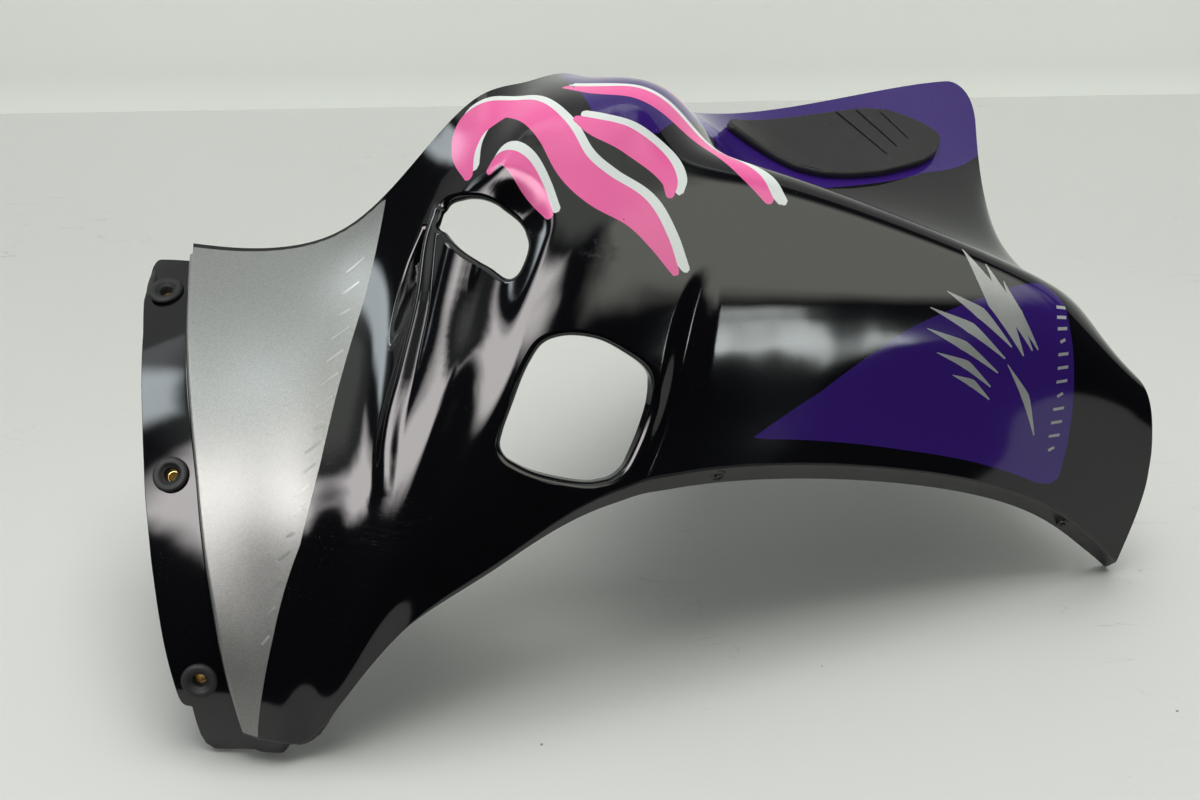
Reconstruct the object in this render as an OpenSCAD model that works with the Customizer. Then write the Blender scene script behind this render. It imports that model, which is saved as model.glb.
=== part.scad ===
// Half fairing of a trail bike, moulded in one shell, lying outer side up.
// Millimetres. +X runs from the windscreen edge to the lower tip, +Y away from
// the front edge, +Z up from the table that the part lies on.

/* [Overall size] */
// length over everything, along X
length = 480; // [450:5:510]
// width over everything, along Y
width = 366; // [341:5:391]
// height over everything, along Z
height = 245; // [225:5:265]

/* [Skin] */
// thickness of the moulded skin
wall = 3; // [2.6:0.1:3.4]
// drop from the outer skin to the windscreen flange
joggle = 5; // [4:0.5:7]
// width of the windscreen flange
flange_w = 21; // [18:0.5:24]
// width of the return lip along the front edge
lip_w = 12; // [9:0.5:14]
// angle by which the return lip turns inward
lip_turn = 40; // [25:1:55]

/* [Sculpted features] */
// height of the ridge beside the air duct
ridge_h = 3.5; // [1:0.5:5]
// depth of the leaf-shaped groove beside the ridge
groove_d = 6; // [3:0.5:7]
// depth of the air duct in front of the oval opening
duct_d = 9; // [4:0.5:12]
// depth of the fold between the square opening and the belly
fold_d = 7; // [3:0.5:9]
// depth of the turned-in rims of both openings
rim_d = 7; // [5:0.5:10]

/* [Vent cover] */
// thickness of the vent cover
vent_t = 5; // [4:0.5:7]
// width of the three slots in the vent cover
slot_w = 2.2; // [1.6:0.2:3]

/* [Fixings] */
// diameter of the rubber nut heads
nut_head_d = 16; // [14:0.5:18]
// bore of the brass inserts
insert_bore = 4.2; // [4:0.1:4.6]
// diameter of the screw holes in the return lip
lip_hole_d = 4; // [3:0.2:5]

/* [Hidden] */

// Places are given for the stock size and stretched to the chosen one.
stretch = [length / 480, width / 366, height / 245];
function place(p) = [p[0] * stretch[0], p[1] * stretch[1], p[2] * stretch[2]];

// Rails of the skin, from the front edge to the far edge. Each rail has one
// point per station, from the windscreen joggle to the lower end.
stock_rails = [
    // front edge
    [[-183, -181, 16], [-176, -182, 14], [-166, -183, 13], [-156, -180, 12],
     [-139, -175, 31], [-109, -159, 62], [-71, -143, 82], [-28, -124, 103],
     [34, -103, 104], [113, -81, 85], [184, -64, 53], [231, -56, 8]],
    // low on the front wall
    [[-188, -173, 45], [-175, -172, 48], [-161, -172, 51], [-146, -169, 51],
     [-126, -165, 65], [-96, -148, 90], [-61, -133, 108], [-21, -113, 125],
     [36, -93, 127], [113, -73, 110], [187, -58, 79], [239, -50, 48]],
    // middle of the front wall
    [[-192, -161, 71], [-176, -158, 76], [-157, -158, 82], [-136, -154, 84],
     [-114, -152, 96], [-85, -134, 117], [-51, -120, 135], [-14, -102, 152],
     [37, -83, 152], [112, -66, 135], [188, -54, 105], [238, -45, 80]],
    // shoulder
    [[-197, -144, 95], [-178, -142, 101], [-154, -142, 108], [-128, -136, 113],
     [-104, -136, 126], [-76, -116, 146], [-45, -104, 166], [-10, -87, 180],
     [38, -70, 177], [111, -57, 159], [187, -49, 130], [233, -38, 100]],
    // upper flank
    [[-201, -123, 116], [-180, -120, 122], [-153, -118, 129], [-124, -110, 136],
     [-96, -116, 156], [-71, -96, 176], [-42, -84, 196], [-7, -66, 207],
     [40, -48, 200], [111, -42, 176], [185, -38, 147], [222, -22, 107]],
    // crest
    [[-207, -94, 134], [-183, -91, 139], [-153, -90, 147], [-121, -81, 156],
     [-93, -90, 179], [-67, -68, 206], [-39, -56, 224], [-4, -38, 227],
     [42, -20, 212], [112, -18, 183], [185, -16, 146], [204, 27, 108]],
    // behind the crest, falling to the valley
    [[-214, -54, 149], [-186, -54, 152], [-153, -54, 161], [-118, -53, 176],
     [-89, -58, 205], [-63, -38, 232], [-37, -18, 242], [-1, -2, 235],
     [50, 50, 160], [112, 47, 146], [164, 52, 134], [178, 77, 126]],
    // far edge, at the right the top of the wing
    [[-221, -3, 160], [-189, -11, 162], [-150, -20, 175], [-116, -24, 204],
     [-85, -10, 233], [-62, 20, 232], [-38, 57, 204], [2, 94, 164],
     [52, 138, 162], [107, 158, 161], [152, 178, 160], [180, 186, 158]]];
rails = [for (r = stock_rails) [for (p = r) place(p)]];
nu = len(rails[0]);
nv = len(rails);

// Uniform cubic curve through a list of points or of rows of points.
function soften(a) = [for (i = [0:len(a) - 1]) i == 0 || i == len(a) - 1 ? a[i]
    : (a[i - 1] + 4 * a[i] + a[i + 1]) / 6];
function flip(m) = [for (j = [0:len(m[0]) - 1]) [for (i = [0:len(m) - 1]) m[i][j]]];
function soften2(m) = flip([for (r = flip([for (c = m) soften(c)])) soften(r)]);
function sharpen(m, c, k) = k == 0 ? c : sharpen(m, c + m - soften2(c), k - 1);
function pad(a) = concat([2 * a[0] - a[1]], a, [2 * a[len(a) - 1] - a[len(a) - 2]]);
function wts(t) = [pow(1 - t, 3), 3 * pow(t, 3) - 6 * t * t + 4,
    -3 * pow(t, 3) + 3 * t * t + 3 * t + 1, pow(t, 3)] / 6;
function at(c, n, t) = let (i = min(max(floor(t), 0), n - 2), w = wts(t - i))
    c[i] * w[0] + c[i + 1] * w[1] + c[i + 2] * w[2] + c[i + 3] * w[3];
net = flip(rails);
ctrl = pad([for (c = sharpen(net, net, 3)) pad(c)]);
function base(u, v) = at(at(ctrl, nu, u), nv, v);
function unit(a) = a / norm(a);
function base_n(u, v) = unit(cross(base(u + 0.02, v) - base(u - 0.02, v),
    base(u, v + 0.02) - base(u, v - 0.02)));

// The wing's far corner is rounded: the last rail is drawn in towards it.
corner_u = 0.55;
corner_v = 0.3;
function v_end(u) = let (s = max(0, (u - (nu - 1 - corner_u)) / corner_u))
    nv - 1 - corner_v * (1 - sqrt(max(0, 1 - s * s)));

// Features raised from or sunk into the skin: [station, rail, half width, depth].
ridge = [[3.72, 6.25, 4, 1], [3.63, 5.98, 6, 3.5], [3.56, 5.32, 7, 3.5],
    [3.36, 4.48, 7, 3.5], [3.25, 3.75, 7, 3], [3.33, 2.9, 6, 0.5]];
groove = [[3.47, 6.2, 2.5, -2], [3.33, 5.92, 5, -6], [3.22, 5.61, 6, -6],
    [3.13, 5.2, 4, -4], [3.1, 4.9, 2, 0]];
duct = [[4.75, 5.25, 26, -9], [4.5, 4.74, 25, -9], [4.35, 4.2, 23, -8.5],
    [4.2, 3.6, 20, -7], [4.1, 2.8, 16, -5], [4.12, 2, 12, -2.5], [4.2, 1.3, 8, 0]];
fold = [[7.6, 3.4, 8, 0], [7.5, 2.85, 13, -5], [7.42, 2.3, 15, -7],
    [7.4, 1.4, 14, -7], [7.4, 0.6, 12, -5], [7.4, -0.1, 11, -4]];
function path3(f) = [for (q = f) concat(base(q[0], q[1]), [q[2], q[3]])];
ridge3 = path3(ridge);
groove3 = path3(groove);
duct3 = path3(duct);
fold3 = path3(fold);
function xyz(q) = [q[0], q[1], q[2]];
function near_seg(p, a, b) = let (d = xyz(b) - xyz(a),
    t = min(max((p - xyz(a)) * d / (d * d), 0), 1))
    [norm(p - xyz(a) - d * t) / (a[3] + (b[3] - a[3]) * t), a[4] + (b[4] - a[4]) * t];
function bell(x) = x >= 1 ? 0 : pow(1 - x * x, 2);
function pick(l, i) = i == len(l) - 1 ? l[i]
    : let (r = pick(l, i + 1)) l[i][0] < r[0] ? l[i] : r;
function feature(p, f) = let (
    r = pick([for (i = [0:len(f) - 2]) near_seg(p, f[i], f[i + 1])], 0))
    r[1] * bell(r[0]);
function raise(p) = feature(p, ridge3) * ridge_h / 3.5 + feature(p, groove3) * groove_d / 6
    + feature(p, duct3) * duct_d / 9 + feature(p, fold3) * fold_d / 7;
function skin(u, v) = let (p = base(u, v)) p + base_n(u, v) * raise(p);
function skin_n(u, v) = unit(cross(skin(u + 0.05, v) - skin(u - 0.05, v),
    skin(u, v + 0.05) - skin(u, v - 0.05)));

// Grid lines of the shell: closer together over the duct, in the valley before the
// wing and at the wing's corner.
us = concat([for (i = [0:8]) i / 3], [for (i = [0:17]) 3 + i / 6],
    [for (i = [0:15]) 6 + i / 4], [10, 10.3, 10.6, 10.8, 10.93, 11]);
vs = concat([for (j = [0:21]) j * 5.8 / 21], [for (j = [1:8]) 5.8 + j * 0.15]);

// Closed solid between two grids of points of one size.
function grid_faces(a, b, off, turn) = [for (i = [0:a - 2], j = [0:b - 2], k = [0, 1])
    let (p = off + i * b + j, q = p + b,
        f = k == 0 ? [p, p + 1, q + 1] : [p, q + 1, q]) turn ? [f[0], f[2], f[1]] : f];
function ring_of(a, b) = concat([for (i = [0:a - 2]) i * b],
    [for (j = [0:b - 2]) (a - 1) * b + j], [for (i = [a - 1:-1:1]) i * b + b - 1],
    [for (j = [b - 1:-1:1]) j]);
module slab(top, low) {
    a = len(top);
    b = len(top[0]);
    r = ring_of(a, b);
    m = len(r);
    polyhedron(concat([for (c = top) each c], [for (c = low) each c]),
        concat(grid_faces(a, b, 0, false), grid_faces(a, b, a * b, true),
        [for (i = [0:m - 1], k = [0, 1]) let (p = r[i], q = r[(i + 1) % m])
            k == 0 ? [p, q, q + a * b] : [p, q + a * b, p + a * b]]), convexity = 8);
}

// Closed solid swept through sections of one length; a loop joins end to start.
function back(a) = [for (i = [len(a) - 1:-1:0]) a[i]];
module sweep(list, loop = false, turn = false) {
    secs = turn ? [for (s = list) back(s)] : list;
    n = len(secs);
    m = len(secs[0]);
    polyhedron([for (s = secs) each s], concat(
        [for (i = [0:n - (loop ? 1 : 2)], j = [0:m - 1], k = [0, 1])
            let (p = i * m + j, q = i * m + (j + 1) % m, r = ((i + 1) % n) * m + j,
                s = ((i + 1) % n) * m + (j + 1) % m) k == 0 ? [p, q, s] : [p, s, r]],
        loop ? [] : [[for (j = [m - 1:-1:0]) j], [for (j = [0:m - 1]) (n - 1) * m + j]]),
        convexity = 8);
}

module skin_plate() {
    top = [for (u = us) [for (v = vs) skin(u, v * v_end(u) / 7)]];
    low = [for (u = us) [for (v = vs) let (w = v * v_end(u) / 7)
        skin(u, w) - skin_n(u, w) * wall]];
    slab(top, low);
}

// Windscreen flange: follows the left edge of the skin and turns under its near end.
// Each station is [u, v, share of the outward direction, share of the downward one].
flange_path = concat([for (i = [0:20]) [0, 6.86 - i * 0.343, 1, 0]],
    [for (a = [15:15:75]) [0, 0, pow(cos(a), 0.6), pow(sin(a), 0.6)]],
    [[0, 0, 0, 1], [0.5, 0, 0, 1], [1, 0, 0, 1], [1.5, 0, 0, 1], [2, 0, 0, 1], [2.4, 0, 0, 0.95]]);
near_w = 10;
function out_u(u, v) = unit(base(u, v) - base(u + 0.05, v));
function out_v(u, v) = unit(base(u, v) - base(u, v + 0.05));
function flange_dir(s) = out_u(s[0], s[1]) * s[2] * flange_w + out_v(s[0], s[1]) * s[3] * near_w;
function flange_sec(s) = let (p = base(s[0], s[1]), n = base_n(s[0], s[1]),
    w = flange_dir(s), d = unit(w))
    [p - d * 2.5 - n * 1, p - n * 1.2, p + d * 0.8 - n * joggle,
     p + w - n * (joggle + 0.3), p + w - n * (joggle + wall),
     p - d * 2.5 - n * (joggle + wall)];
module windscreen_flange() sweep([for (s = flange_path) flange_sec(s)], turn = true);

// Return lip along the front edge, turned inward.
lip_us = concat([2.6, 2.8, 3, 3.2, 3.4, 3.6, 3.8], [for (i = [0:27]) 4 + i * 0.25], [11]);
function lip_dir(u) = out_v(u, 0) * cos(lip_turn) - base_n(u, 0) * sin(lip_turn);
function lip_in(u) = -base_n(u, 0) * cos(lip_turn) - out_v(u, 0) * sin(lip_turn);
function lip_sec(u) = let (p = base(u, 0), n = base_n(u, 0), o = out_v(u, 0),
    w = lip_w * min(1, 0.25 + max(0, u - 2.6) * 0.6, 1 - max(0, u - 10.4) * 0.27))
    [p - o * 2 - n * 0.3, p + o * 0.6 - n * 0.5, p + lip_dir(u) * w,
     p + lip_dir(u) * w + lip_in(u) * 2.4, p - o * 2 - n * 2.9];
module return_lip() sweep([for (u = lip_us) lip_sec(u)], turn = true);

// Outlines of the two openings as [station, rail], run through a closed smooth curve.
oval = [[3.9, 5.98], [4.1, 5.55], [4.5, 5.08], [4.86, 4.68], [5.18, 4.36],
    [5.38, 4.42], [5.4, 4.66], [5.15, 4.97], [4.8, 5.38], [4.42, 5.8], [4.12, 6.06]];
square = [[5.55, 2.92], [5.46, 2.66], [5.42, 2.3], [5.5, 2.02], [5.72, 1.76],
    [6.15, 1.26], [6.6, 0.68], [6.88, 0.3], [7.02, 0.22], [7.11, 0.4], [7.15, 0.8],
    [7.15, 1.4], [7.13, 1.86], [7.04, 2.15], [6.8, 2.46], [6.4, 2.86], [6.08, 3.12],
    [5.85, 3.2], [5.66, 3.1]];
function loop_at(l, i, t) = let (n = len(l), w = wts(t))
    l[(i + n - 1) % n] * w[0] + l[i % n] * w[1] + l[(i + 1) % n] * w[2] + l[(i + 2) % n] * w[3];
function loop_pts(l, k) = [for (i = [0:len(l) - 1], t = [0:k - 1]) loop_at(l, i, t / k)];
function mean(l, i = 0) = i == len(l) - 1 ? l[i] / len(l) : l[i] / len(l) + mean(l, i + 1);
function hole_axis(l) = let (c = mean(l)) base_n(c[0], c[1]);

// Frame at each outline point: position, outward across the edge, skin normal.
function frames(l) = let (pts = [for (q = l) base(q[0], q[1])], m = len(l))
    [for (i = [0:m - 1]) let (n = base_n(l[i][0], l[i][1]),
        t = unit(pts[(i + 1) % m] - pts[(i + m - 1) % m])) [pts[i], cross(n, t), n]];
module cutter(l, grow) {
    f = frames(l);
    ax = hole_axis(l);
    sweep([[for (q = f) q[0] - q[1] * grow - ax * 30], [for (q = f) q[0] - q[1] * grow + ax * 30]],
        turn = true);
}
module rim(l) {
    sweep([for (q = frames(l)) let (p = q[0], o = -q[1], n = q[2])
        [p + o * 5.5 - n * 0.4, p + o * 3 + n * 0.3, p + o * 1.2 - n * 0.6, p + o * 0.3 - n * 2,
         p - n * 3.5, p - n * rim_d, p + o * 2.4 - n * rim_d, p + o * 2.4 - n * 3.4,
         p + o * 5.5 - n * 2.8]], loop = true);
}
oval_pts = loop_pts(oval, 2);
square_pts = loop_pts(square, 2);

// Lower strip behind the return lip, between the near foot and the step in the lip.
function strip_sec(u) = let (p = base(u, 0), w = lip_dir(u), i = lip_in(u))
    [p + w * 3 + i * 1.5, p + w * 9 + i * 6.5, p + w * 14 + i * 6.5,
     p + w * 14 + i * 9, p + w * 8 + i * 9, p + w * 2 + i * 4];
module near_strip() sweep([for (u = [3.15:0.25:4.65]) strip_sec(u)], turn = true);

// Ribs and pads on the inner side, each hull between two stations of a path.
function under(u, v, d) = skin(u, v) - skin_n(u, v) * d;
module bead(p, r) translate(p) sphere(r, $fn = 6);
module rib(path, r, d) {
    for (i = [0:len(path) - 2]) hull() {
        bead(under(path[i][0], path[i][1], 2.2), r);
        bead(under(path[i][0], path[i][1], d), r);
        bead(under(path[i + 1][0], path[i + 1][1], 2.2), r);
        bead(under(path[i + 1][0], path[i + 1][1], d), r);
    }
}

// Inner fixing leg under the crest: the third point on which the part rests. Its
// stations are [x, y, z, width], and its top is cut to the slope of the skin.
leg_x = 30;
leg_top = [7.5, 6.6];
leg_p = under(leg_top[0], leg_top[1], 1.6);
leg_n = skin_n(leg_top[0], leg_top[1]);
leg_foot = place([leg_x, 100, 0]);
leg = [concat(leg_p, [34]), [leg_p[0] + 1, leg_p[1] + 4, 150 * stretch[2], 32],
    concat(place([leg_x - 1, 90, 120]), [29]), concat(place([leg_x, 96, 80]), [27]),
    concat(place([leg_x, 99, 40]), [26]), concat(leg_foot, [26])];
function leg_sec(i) = let (c = leg[i], w = c[3] / 2)
    [for (q = [[-w, 0], [-w, 9], [3 - w, 9], [3 - w, 3.2], [w - 3, 3.2], [w - 3, 9], [w, 9], [w, 0]])
        [c[0] + q[0], c[1] + q[1], c[2] - (i == 0 ? (q[0] * leg_n[0] + q[1] * leg_n[1]) / leg_n[2] : 0)]];
module fixing_leg() sweep([for (i = [0:len(leg) - 1]) leg_sec(i)], turn = true);

// Frame for parts that stand on the skin: local z along the outward normal.
module on_frame(p, n) {
    x = unit(cross([0, 1, 0], n));
    y = cross(n, x);
    multmatrix([[x[0], y[0], n[0], p[0]], [x[1], y[1], n[1], p[1]],
        [x[2], y[2], n[2], p[2]], [0, 0, 0, 1]]) children();
}
nut_vs = [6.3, 3.97, 0.95];
function nut_n(i) = base_n(0, nut_vs[i]);
function nut_p(i) = base(0, nut_vs[i]) + out_u(0, nut_vs[i]) * flange_w / 2
    - nut_n(i) * (joggle + 0.02);
module at_nut(i) on_frame(nut_p(i), nut_n(i)) children();
vent_at = [[8.25, 6.68], [8.95, 6.62], [9.6, 6.64]];
module at_vent(i) on_frame(skin(vent_at[i][0], vent_at[i][1]),
    skin_n(vent_at[i][0], vent_at[i][1])) children();
lip_at = [7.89, 10.33];
module at_lip(i) on_frame(base(lip_at[i], 0) + lip_dir(lip_at[i]) * lip_w * 0.5,
    -lip_in(lip_at[i])) children();

nut_body_r = 5;
module panel() {
    difference() {
        union() {
            skin_plate();
            windscreen_flange();
            return_lip();
        }
        cutter(oval_pts, 1.6);
        cutter(square_pts, 1.6);
    }
}
module moulding() {
    panel();
    rim(oval_pts);
    rim(square_pts);
    fixing_leg();
    near_strip();
    rib([for (i = [0:6]) [8.1 + i * 0.4, 6.1]], 1.3, 6);
    // nub on the outer side of the flange
    hull() for (v = [6.1, 6.5], k = [-1, 1.5])
        bead(base(0, v) + out_u(0, v) * (flange_w + k) - base_n(0, v) * (joggle + 1.6), 1.3);
    // peg beside the near foot
    hull() for (k = [4, 9]) bead(base(3.3, 0) + lip_dir(3.3) * k + lip_in(3.3) * 3, 1.8);
    for (i = [0:1]) at_lip(i) translate([0, 0, -4.2]) cylinder(d = 9, h = 3, $fn = 24);
}

module fairing_shell() color([0.03, 0.03, 0.035]) difference() {
    moulding();
    // holes for the rubber nuts, the vent cover's screws and the fixing screws
    for (i = [0:2]) at_nut(i) translate([0, 0, -8]) cylinder(r = nut_body_r + 0.2, h = 16, $fn = 24);
    for (i = [0:2]) at_vent(i) translate([0, 0, -12]) cylinder(r = 1.7, h = 24, $fn = 16);
    for (i = [0:1]) at_lip(i) translate([0, 0, -10]) cylinder(d = lip_hole_d, h = 20, $fn = 20);
    translate(leg_foot + [0, -20, 14]) rotate([-90, 0, 0]) cylinder(d = 6, h = 40, $fn = 20);
}

// Vent cover: a plate that follows the wing, with a narrow and a broad end.
vent_u = [7.75, 7.85, 8, 8.2, 8.4, 8.65, 8.9, 9.15, 9.4, 9.6, 9.75, 9.86, 9.94, 9.98];
vent_lo = [6.71, 6.66, 6.6, 6.52, 6.45, 6.41, 6.41, 6.43, 6.47, 6.5, 6.53, 6.56, 6.6, 6.635];
vent_hi = [6.78, 6.81, 6.83, 6.85, 6.86, 6.865, 6.865, 6.86, 6.83, 6.78, 6.74, 6.705, 6.67, 6.645];
module vent_plate() {
    k = 7;
    function rows(i, inset, h) = [for (j = [0:k]) let (s = inset + (1 - 2 * inset) * j / k,
        v = vent_lo[i] + (vent_hi[i] - vent_lo[i]) * s) skin(vent_u[i], v) + skin_n(vent_u[i], v) * h];
    n = len(vent_u) - 1;
    slab([for (i = [0:n]) rows(i, 0.02, i == 0 || i == n ? vent_t - 1.2 : vent_t)],
        [for (i = [0:n]) rows(i, 0, i < 6 ? 0.8 : 0.4)]);
}
slots = [for (q = [[[101, 140], [124, 107]], [[112, 142], [130, 115]], [[125, 142], [137, 123]]])
    [for (p = q) place([p[0], p[1], 0])]];
module vent_cover() color([0.05, 0.05, 0.055]) difference() {
    vent_plate();
    for (s = slots) let (d = s[1] - s[0]) translate([s[0][0], s[0][1], 130 * stretch[2]])
        rotate([0, 0, atan2(d[1], d[0])]) {
            cylinder(d = slot_w, h = 40, $fn = 24);
            translate([0, -slot_w / 2, 0]) cube([norm(d), slot_w, 40]);
            translate([norm(d), 0, 0]) cylinder(d = slot_w, h = 40, $fn = 24);
        }
    for (i = [0:2]) at_vent(i) translate([0, 0, -2]) cylinder(r = 1.5, h = 5.4, $fn = 48);
}

// Rubber well nut: a dished head on the flange and a body with a bulge behind it.
module well_nut(i) color([0.06, 0.06, 0.06]) at_nut(i) rotate_extrude($fn = 64)
    polygon([[3, -13], [6.2, -12], [6.4, -6], [nut_body_r, -wall - 0.6], [nut_body_r, -0.1],
        [nut_head_d / 2 - 0.4, 0], [nut_head_d / 2, 0.6], [nut_head_d / 2 - 0.3, 1.6],
        [nut_head_d / 2 - 2, 2.2], [4.6, 1.7], [3.6, 0.6], [3, 0.2]]);
module nut_insert(i) color([0.72, 0.55, 0.25]) at_nut(i) difference() {
    translate([0, 0, -12.6]) cylinder(r = 2.95, h = 9, $fn = 48);
    translate([0, 0, -14]) cylinder(d = insert_bore, h = 12, $fn = 48);
}
// Screws that hold the vent cover from inside the wing.
module vent_screw(i) color([0.5, 0.5, 0.52]) at_vent(i) {
    translate([0, 0, -wall - 2.1]) cylinder(r = 3.4, h = 2.05, $fn = 48);
    translate([0, 0, -wall - 0.1]) cylinder(r = 1.42, h = wall + 3.2, $fn = 48);
}

fairing_shell();
vent_cover();
well_nut(0);  // well_nut_upper
well_nut(1);  // well_nut_middle
well_nut(2);  // well_nut_lower
nut_insert(0);  // nut_insert_upper
nut_insert(1);  // nut_insert_middle
nut_insert(2);  // nut_insert_lower
vent_screw(0);  // vent_screw_left
vent_screw(1);  // vent_screw_middle
vent_screw(2);  // vent_screw_right
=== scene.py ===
"""Looks of a trail bike's half fairing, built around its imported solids.

Every piece is made in millimetres in the row frame and written to Blender in
metres. The skin is one smooth surface over a station u (0 to 11, from the
windscreen edge to the lower tip) and a rail v (0 to 7, from the front edge to
the far edge), so that each detail is placed by its (u, v).
"""
import sys
import logging
import math
from dataclasses import dataclass, field
from enum import Enum
from typing import Callable, Optional, Sequence

import bpy
import numpy as np
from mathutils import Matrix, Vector
from mathutils.geometry import delaunay_2d_cdt


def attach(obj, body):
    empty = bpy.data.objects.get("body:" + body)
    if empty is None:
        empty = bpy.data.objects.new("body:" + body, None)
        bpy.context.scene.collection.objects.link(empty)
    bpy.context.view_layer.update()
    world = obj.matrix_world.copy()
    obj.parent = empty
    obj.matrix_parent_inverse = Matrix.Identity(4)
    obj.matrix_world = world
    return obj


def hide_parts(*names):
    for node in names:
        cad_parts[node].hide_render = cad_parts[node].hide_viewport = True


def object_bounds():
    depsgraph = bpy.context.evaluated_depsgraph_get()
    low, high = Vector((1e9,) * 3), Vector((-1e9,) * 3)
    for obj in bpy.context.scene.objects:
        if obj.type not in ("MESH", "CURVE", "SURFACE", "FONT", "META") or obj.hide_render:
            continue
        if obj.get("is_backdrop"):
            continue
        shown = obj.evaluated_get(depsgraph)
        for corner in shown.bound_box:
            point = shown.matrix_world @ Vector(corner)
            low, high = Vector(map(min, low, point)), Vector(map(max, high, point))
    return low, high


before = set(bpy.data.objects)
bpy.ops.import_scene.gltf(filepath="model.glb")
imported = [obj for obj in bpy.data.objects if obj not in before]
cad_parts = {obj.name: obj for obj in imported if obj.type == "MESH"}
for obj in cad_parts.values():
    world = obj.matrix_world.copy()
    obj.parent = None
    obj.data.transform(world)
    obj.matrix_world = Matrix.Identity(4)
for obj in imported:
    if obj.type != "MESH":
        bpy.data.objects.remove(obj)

logging.basicConfig(level=logging.INFO, format="%(name)s %(levelname)s %(message)s", stream=sys.stdout)
log = logging.getLogger("fairing")

MM = 0.001
Array = np.ndarray
Pair = tuple[float, float]
Colour = tuple[float, float, float]

# Sizes shared with the solids, in millimetres
WALL = 3.0
JOGGLE = 5.0
FLANGE_W = 23.5
NEAR_W = 12.5
FLANGE_X = 240.2
LIP_W = 12.0
LIP_TURN = math.radians(40)
RIM_DEPTHS = (4.2, 7.0)
VENT_T = 5.0
NUT_HEAD_R = 8.0
# The solids' box, slightly inside
BOX_LOW = (-240.75, -182.85, 0.05)
BOX_HIGH = (239.4, 183.0, 245.2)

# Rails of the skin, from the front edge to the far edge, one point per station
RAILS = [
    [(-183, -181, 16), (-176, -182, 14), (-166, -183, 13), (-156, -180, 12), (-139, -175, 31),
     (-109, -159, 62), (-71, -143, 82), (-28, -124, 103), (34, -103, 104), (113, -81, 85), (184, -64, 53),
     (231, -56, 8)],
    [(-188, -173, 45), (-175, -172, 48), (-161, -172, 51), (-146, -169, 51), (-126, -165, 65),
     (-96, -148, 90), (-61, -133, 108), (-21, -113, 125), (36, -93, 127), (113, -73, 110), (187, -58, 79),
     (239, -50, 48)],
    [(-192, -161, 71), (-176, -158, 76), (-157, -158, 82), (-136, -154, 84), (-114, -152, 96),
     (-85, -134, 117), (-51, -120, 135), (-14, -102, 152), (37, -83, 152), (112, -66, 135), (188, -54, 105),
     (238, -45, 80)],
    [(-197, -144, 95), (-178, -142, 101), (-154, -142, 108), (-128, -136, 113), (-104, -136, 126),
     (-76, -116, 146), (-45, -104, 166), (-10, -87, 180), (38, -70, 177), (111, -57, 159), (187, -49, 130),
     (233, -38, 100)],
    [(-201, -123, 116), (-180, -120, 122), (-153, -118, 129), (-124, -110, 136), (-96, -116, 156),
     (-71, -96, 176), (-42, -84, 196), (-7, -66, 207), (40, -48, 200), (111, -42, 176), (185, -38, 147),
     (222, -22, 107)],
    [(-207, -94, 134), (-183, -91, 139), (-153, -90, 147), (-121, -81, 156), (-93, -90, 178.9),
     (-67, -68.1, 206.5), (-39, -56.9, 221.6), (-4, -38.4, 226.3), (42, -20, 212), (112, -18, 183),
     (185, -16, 146), (204, 27, 108)],
    [(-214, -54, 149), (-186, -54, 152), (-153, -54, 161), (-118, -53, 176), (-89, -58.1, 205.7),
     (-63, -36.7, 235.4), (-37, -13.8, 240), (4, 3.3, 238.5), (50, 50.1, 160.4), (112, 47, 146),
     (164, 52, 134), (178, 77, 126)],
    [(-221, -3, 160), (-189, -11, 162), (-150, -20, 175), (-116, -23.7, 207.1), (-85, -8.9, 236.4),
     (-62, 19.5, 231.9), (-38, 51.5, 222.2), (2, 95.2, 185.1), (52, 137.8, 161.5), (107, 158, 161),
     (152, 178, 160), (184, 186.2, 159)],
]

# Outlines of the two openings as (u, v)
OVAL = [(3.63, 6.19), (3.67, 6.06), (3.86, 5.83), (4.15, 5.48), (4.69, 4.87), (4.99, 4.51), (5.15, 4.42),
        (5.25, 4.48), (5.3, 4.62), (5.24, 4.79), (5.13, 4.97), (4.87, 5.27), (4.39, 5.82), (4.14, 6.05),
        (3.88, 6.21), (3.7, 6.27)]
SQUARE = [(5.6, 3.15), (5.49, 2.97), (5.39, 2.6), (5.36, 2.4), (5.38, 2.22), (5.52, 1.97), (5.76, 1.68),
          (6.27, 1.08), (6.79, 0.45), (6.98, 0.29), (7.09, 0.27), (7.17, 0.4), (7.23, 0.7), (7.27, 1.03),
          (7.29, 1.36), (7.26, 1.67), (7.15, 1.99), (6.9, 2.35), (6.57, 2.73), (6.2, 3.03), (5.91, 3.19),
          (5.72, 3.23)]

# Well nuts: rail and share of the flange's width
NUT_VS = (6.46, 4.13, 0.9)
NUT_OUT = (0.56, 0.6, 0.62)
# Station at which the flange's near part ends and the lip starts
FLANGE_END = 2.6
# Flange: extra width by rail, corner as (outward, downward), share of the near width by station
FLANGE_MORE = [(0, 2.5), (1, 2.5), (2, 3), (3, 3.5), (4, 3.3), (5, 1), (6, -0.5), (6.86, 1.2)]
FLANGE_CORNER = [(26.3, 8), (26, 15), (24.5, 19), (21, 20.3), (15, 18.2), (8, 15.4), (0, 12.5)]
NEAR_SHARE = [(0, 1), (0.5, 0.94), (1, 0.88), (1.5, 0.83), (2, 0.78), (2.3, 0.6), (2.5, 0.3), (2.6, 0.2)]
LIP_HOLES_U = (7.89, 10.33)
VENT_SCREWS = ((8.25, 6.68), (8.95, 6.62), (9.6, 6.64))
# Value of a distance layer far from any edge
FAR = 99.0
# Small step in (u, v) for slopes of the skin
EPS = 0.02


class Slot(Enum):
    """Names of the material slots."""

    PAINT = "painted_skin"
    RUBBER = "rubber"
    BRASS = "brass"
    MATT = "matt_black"
    STEEL = "steel"


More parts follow.
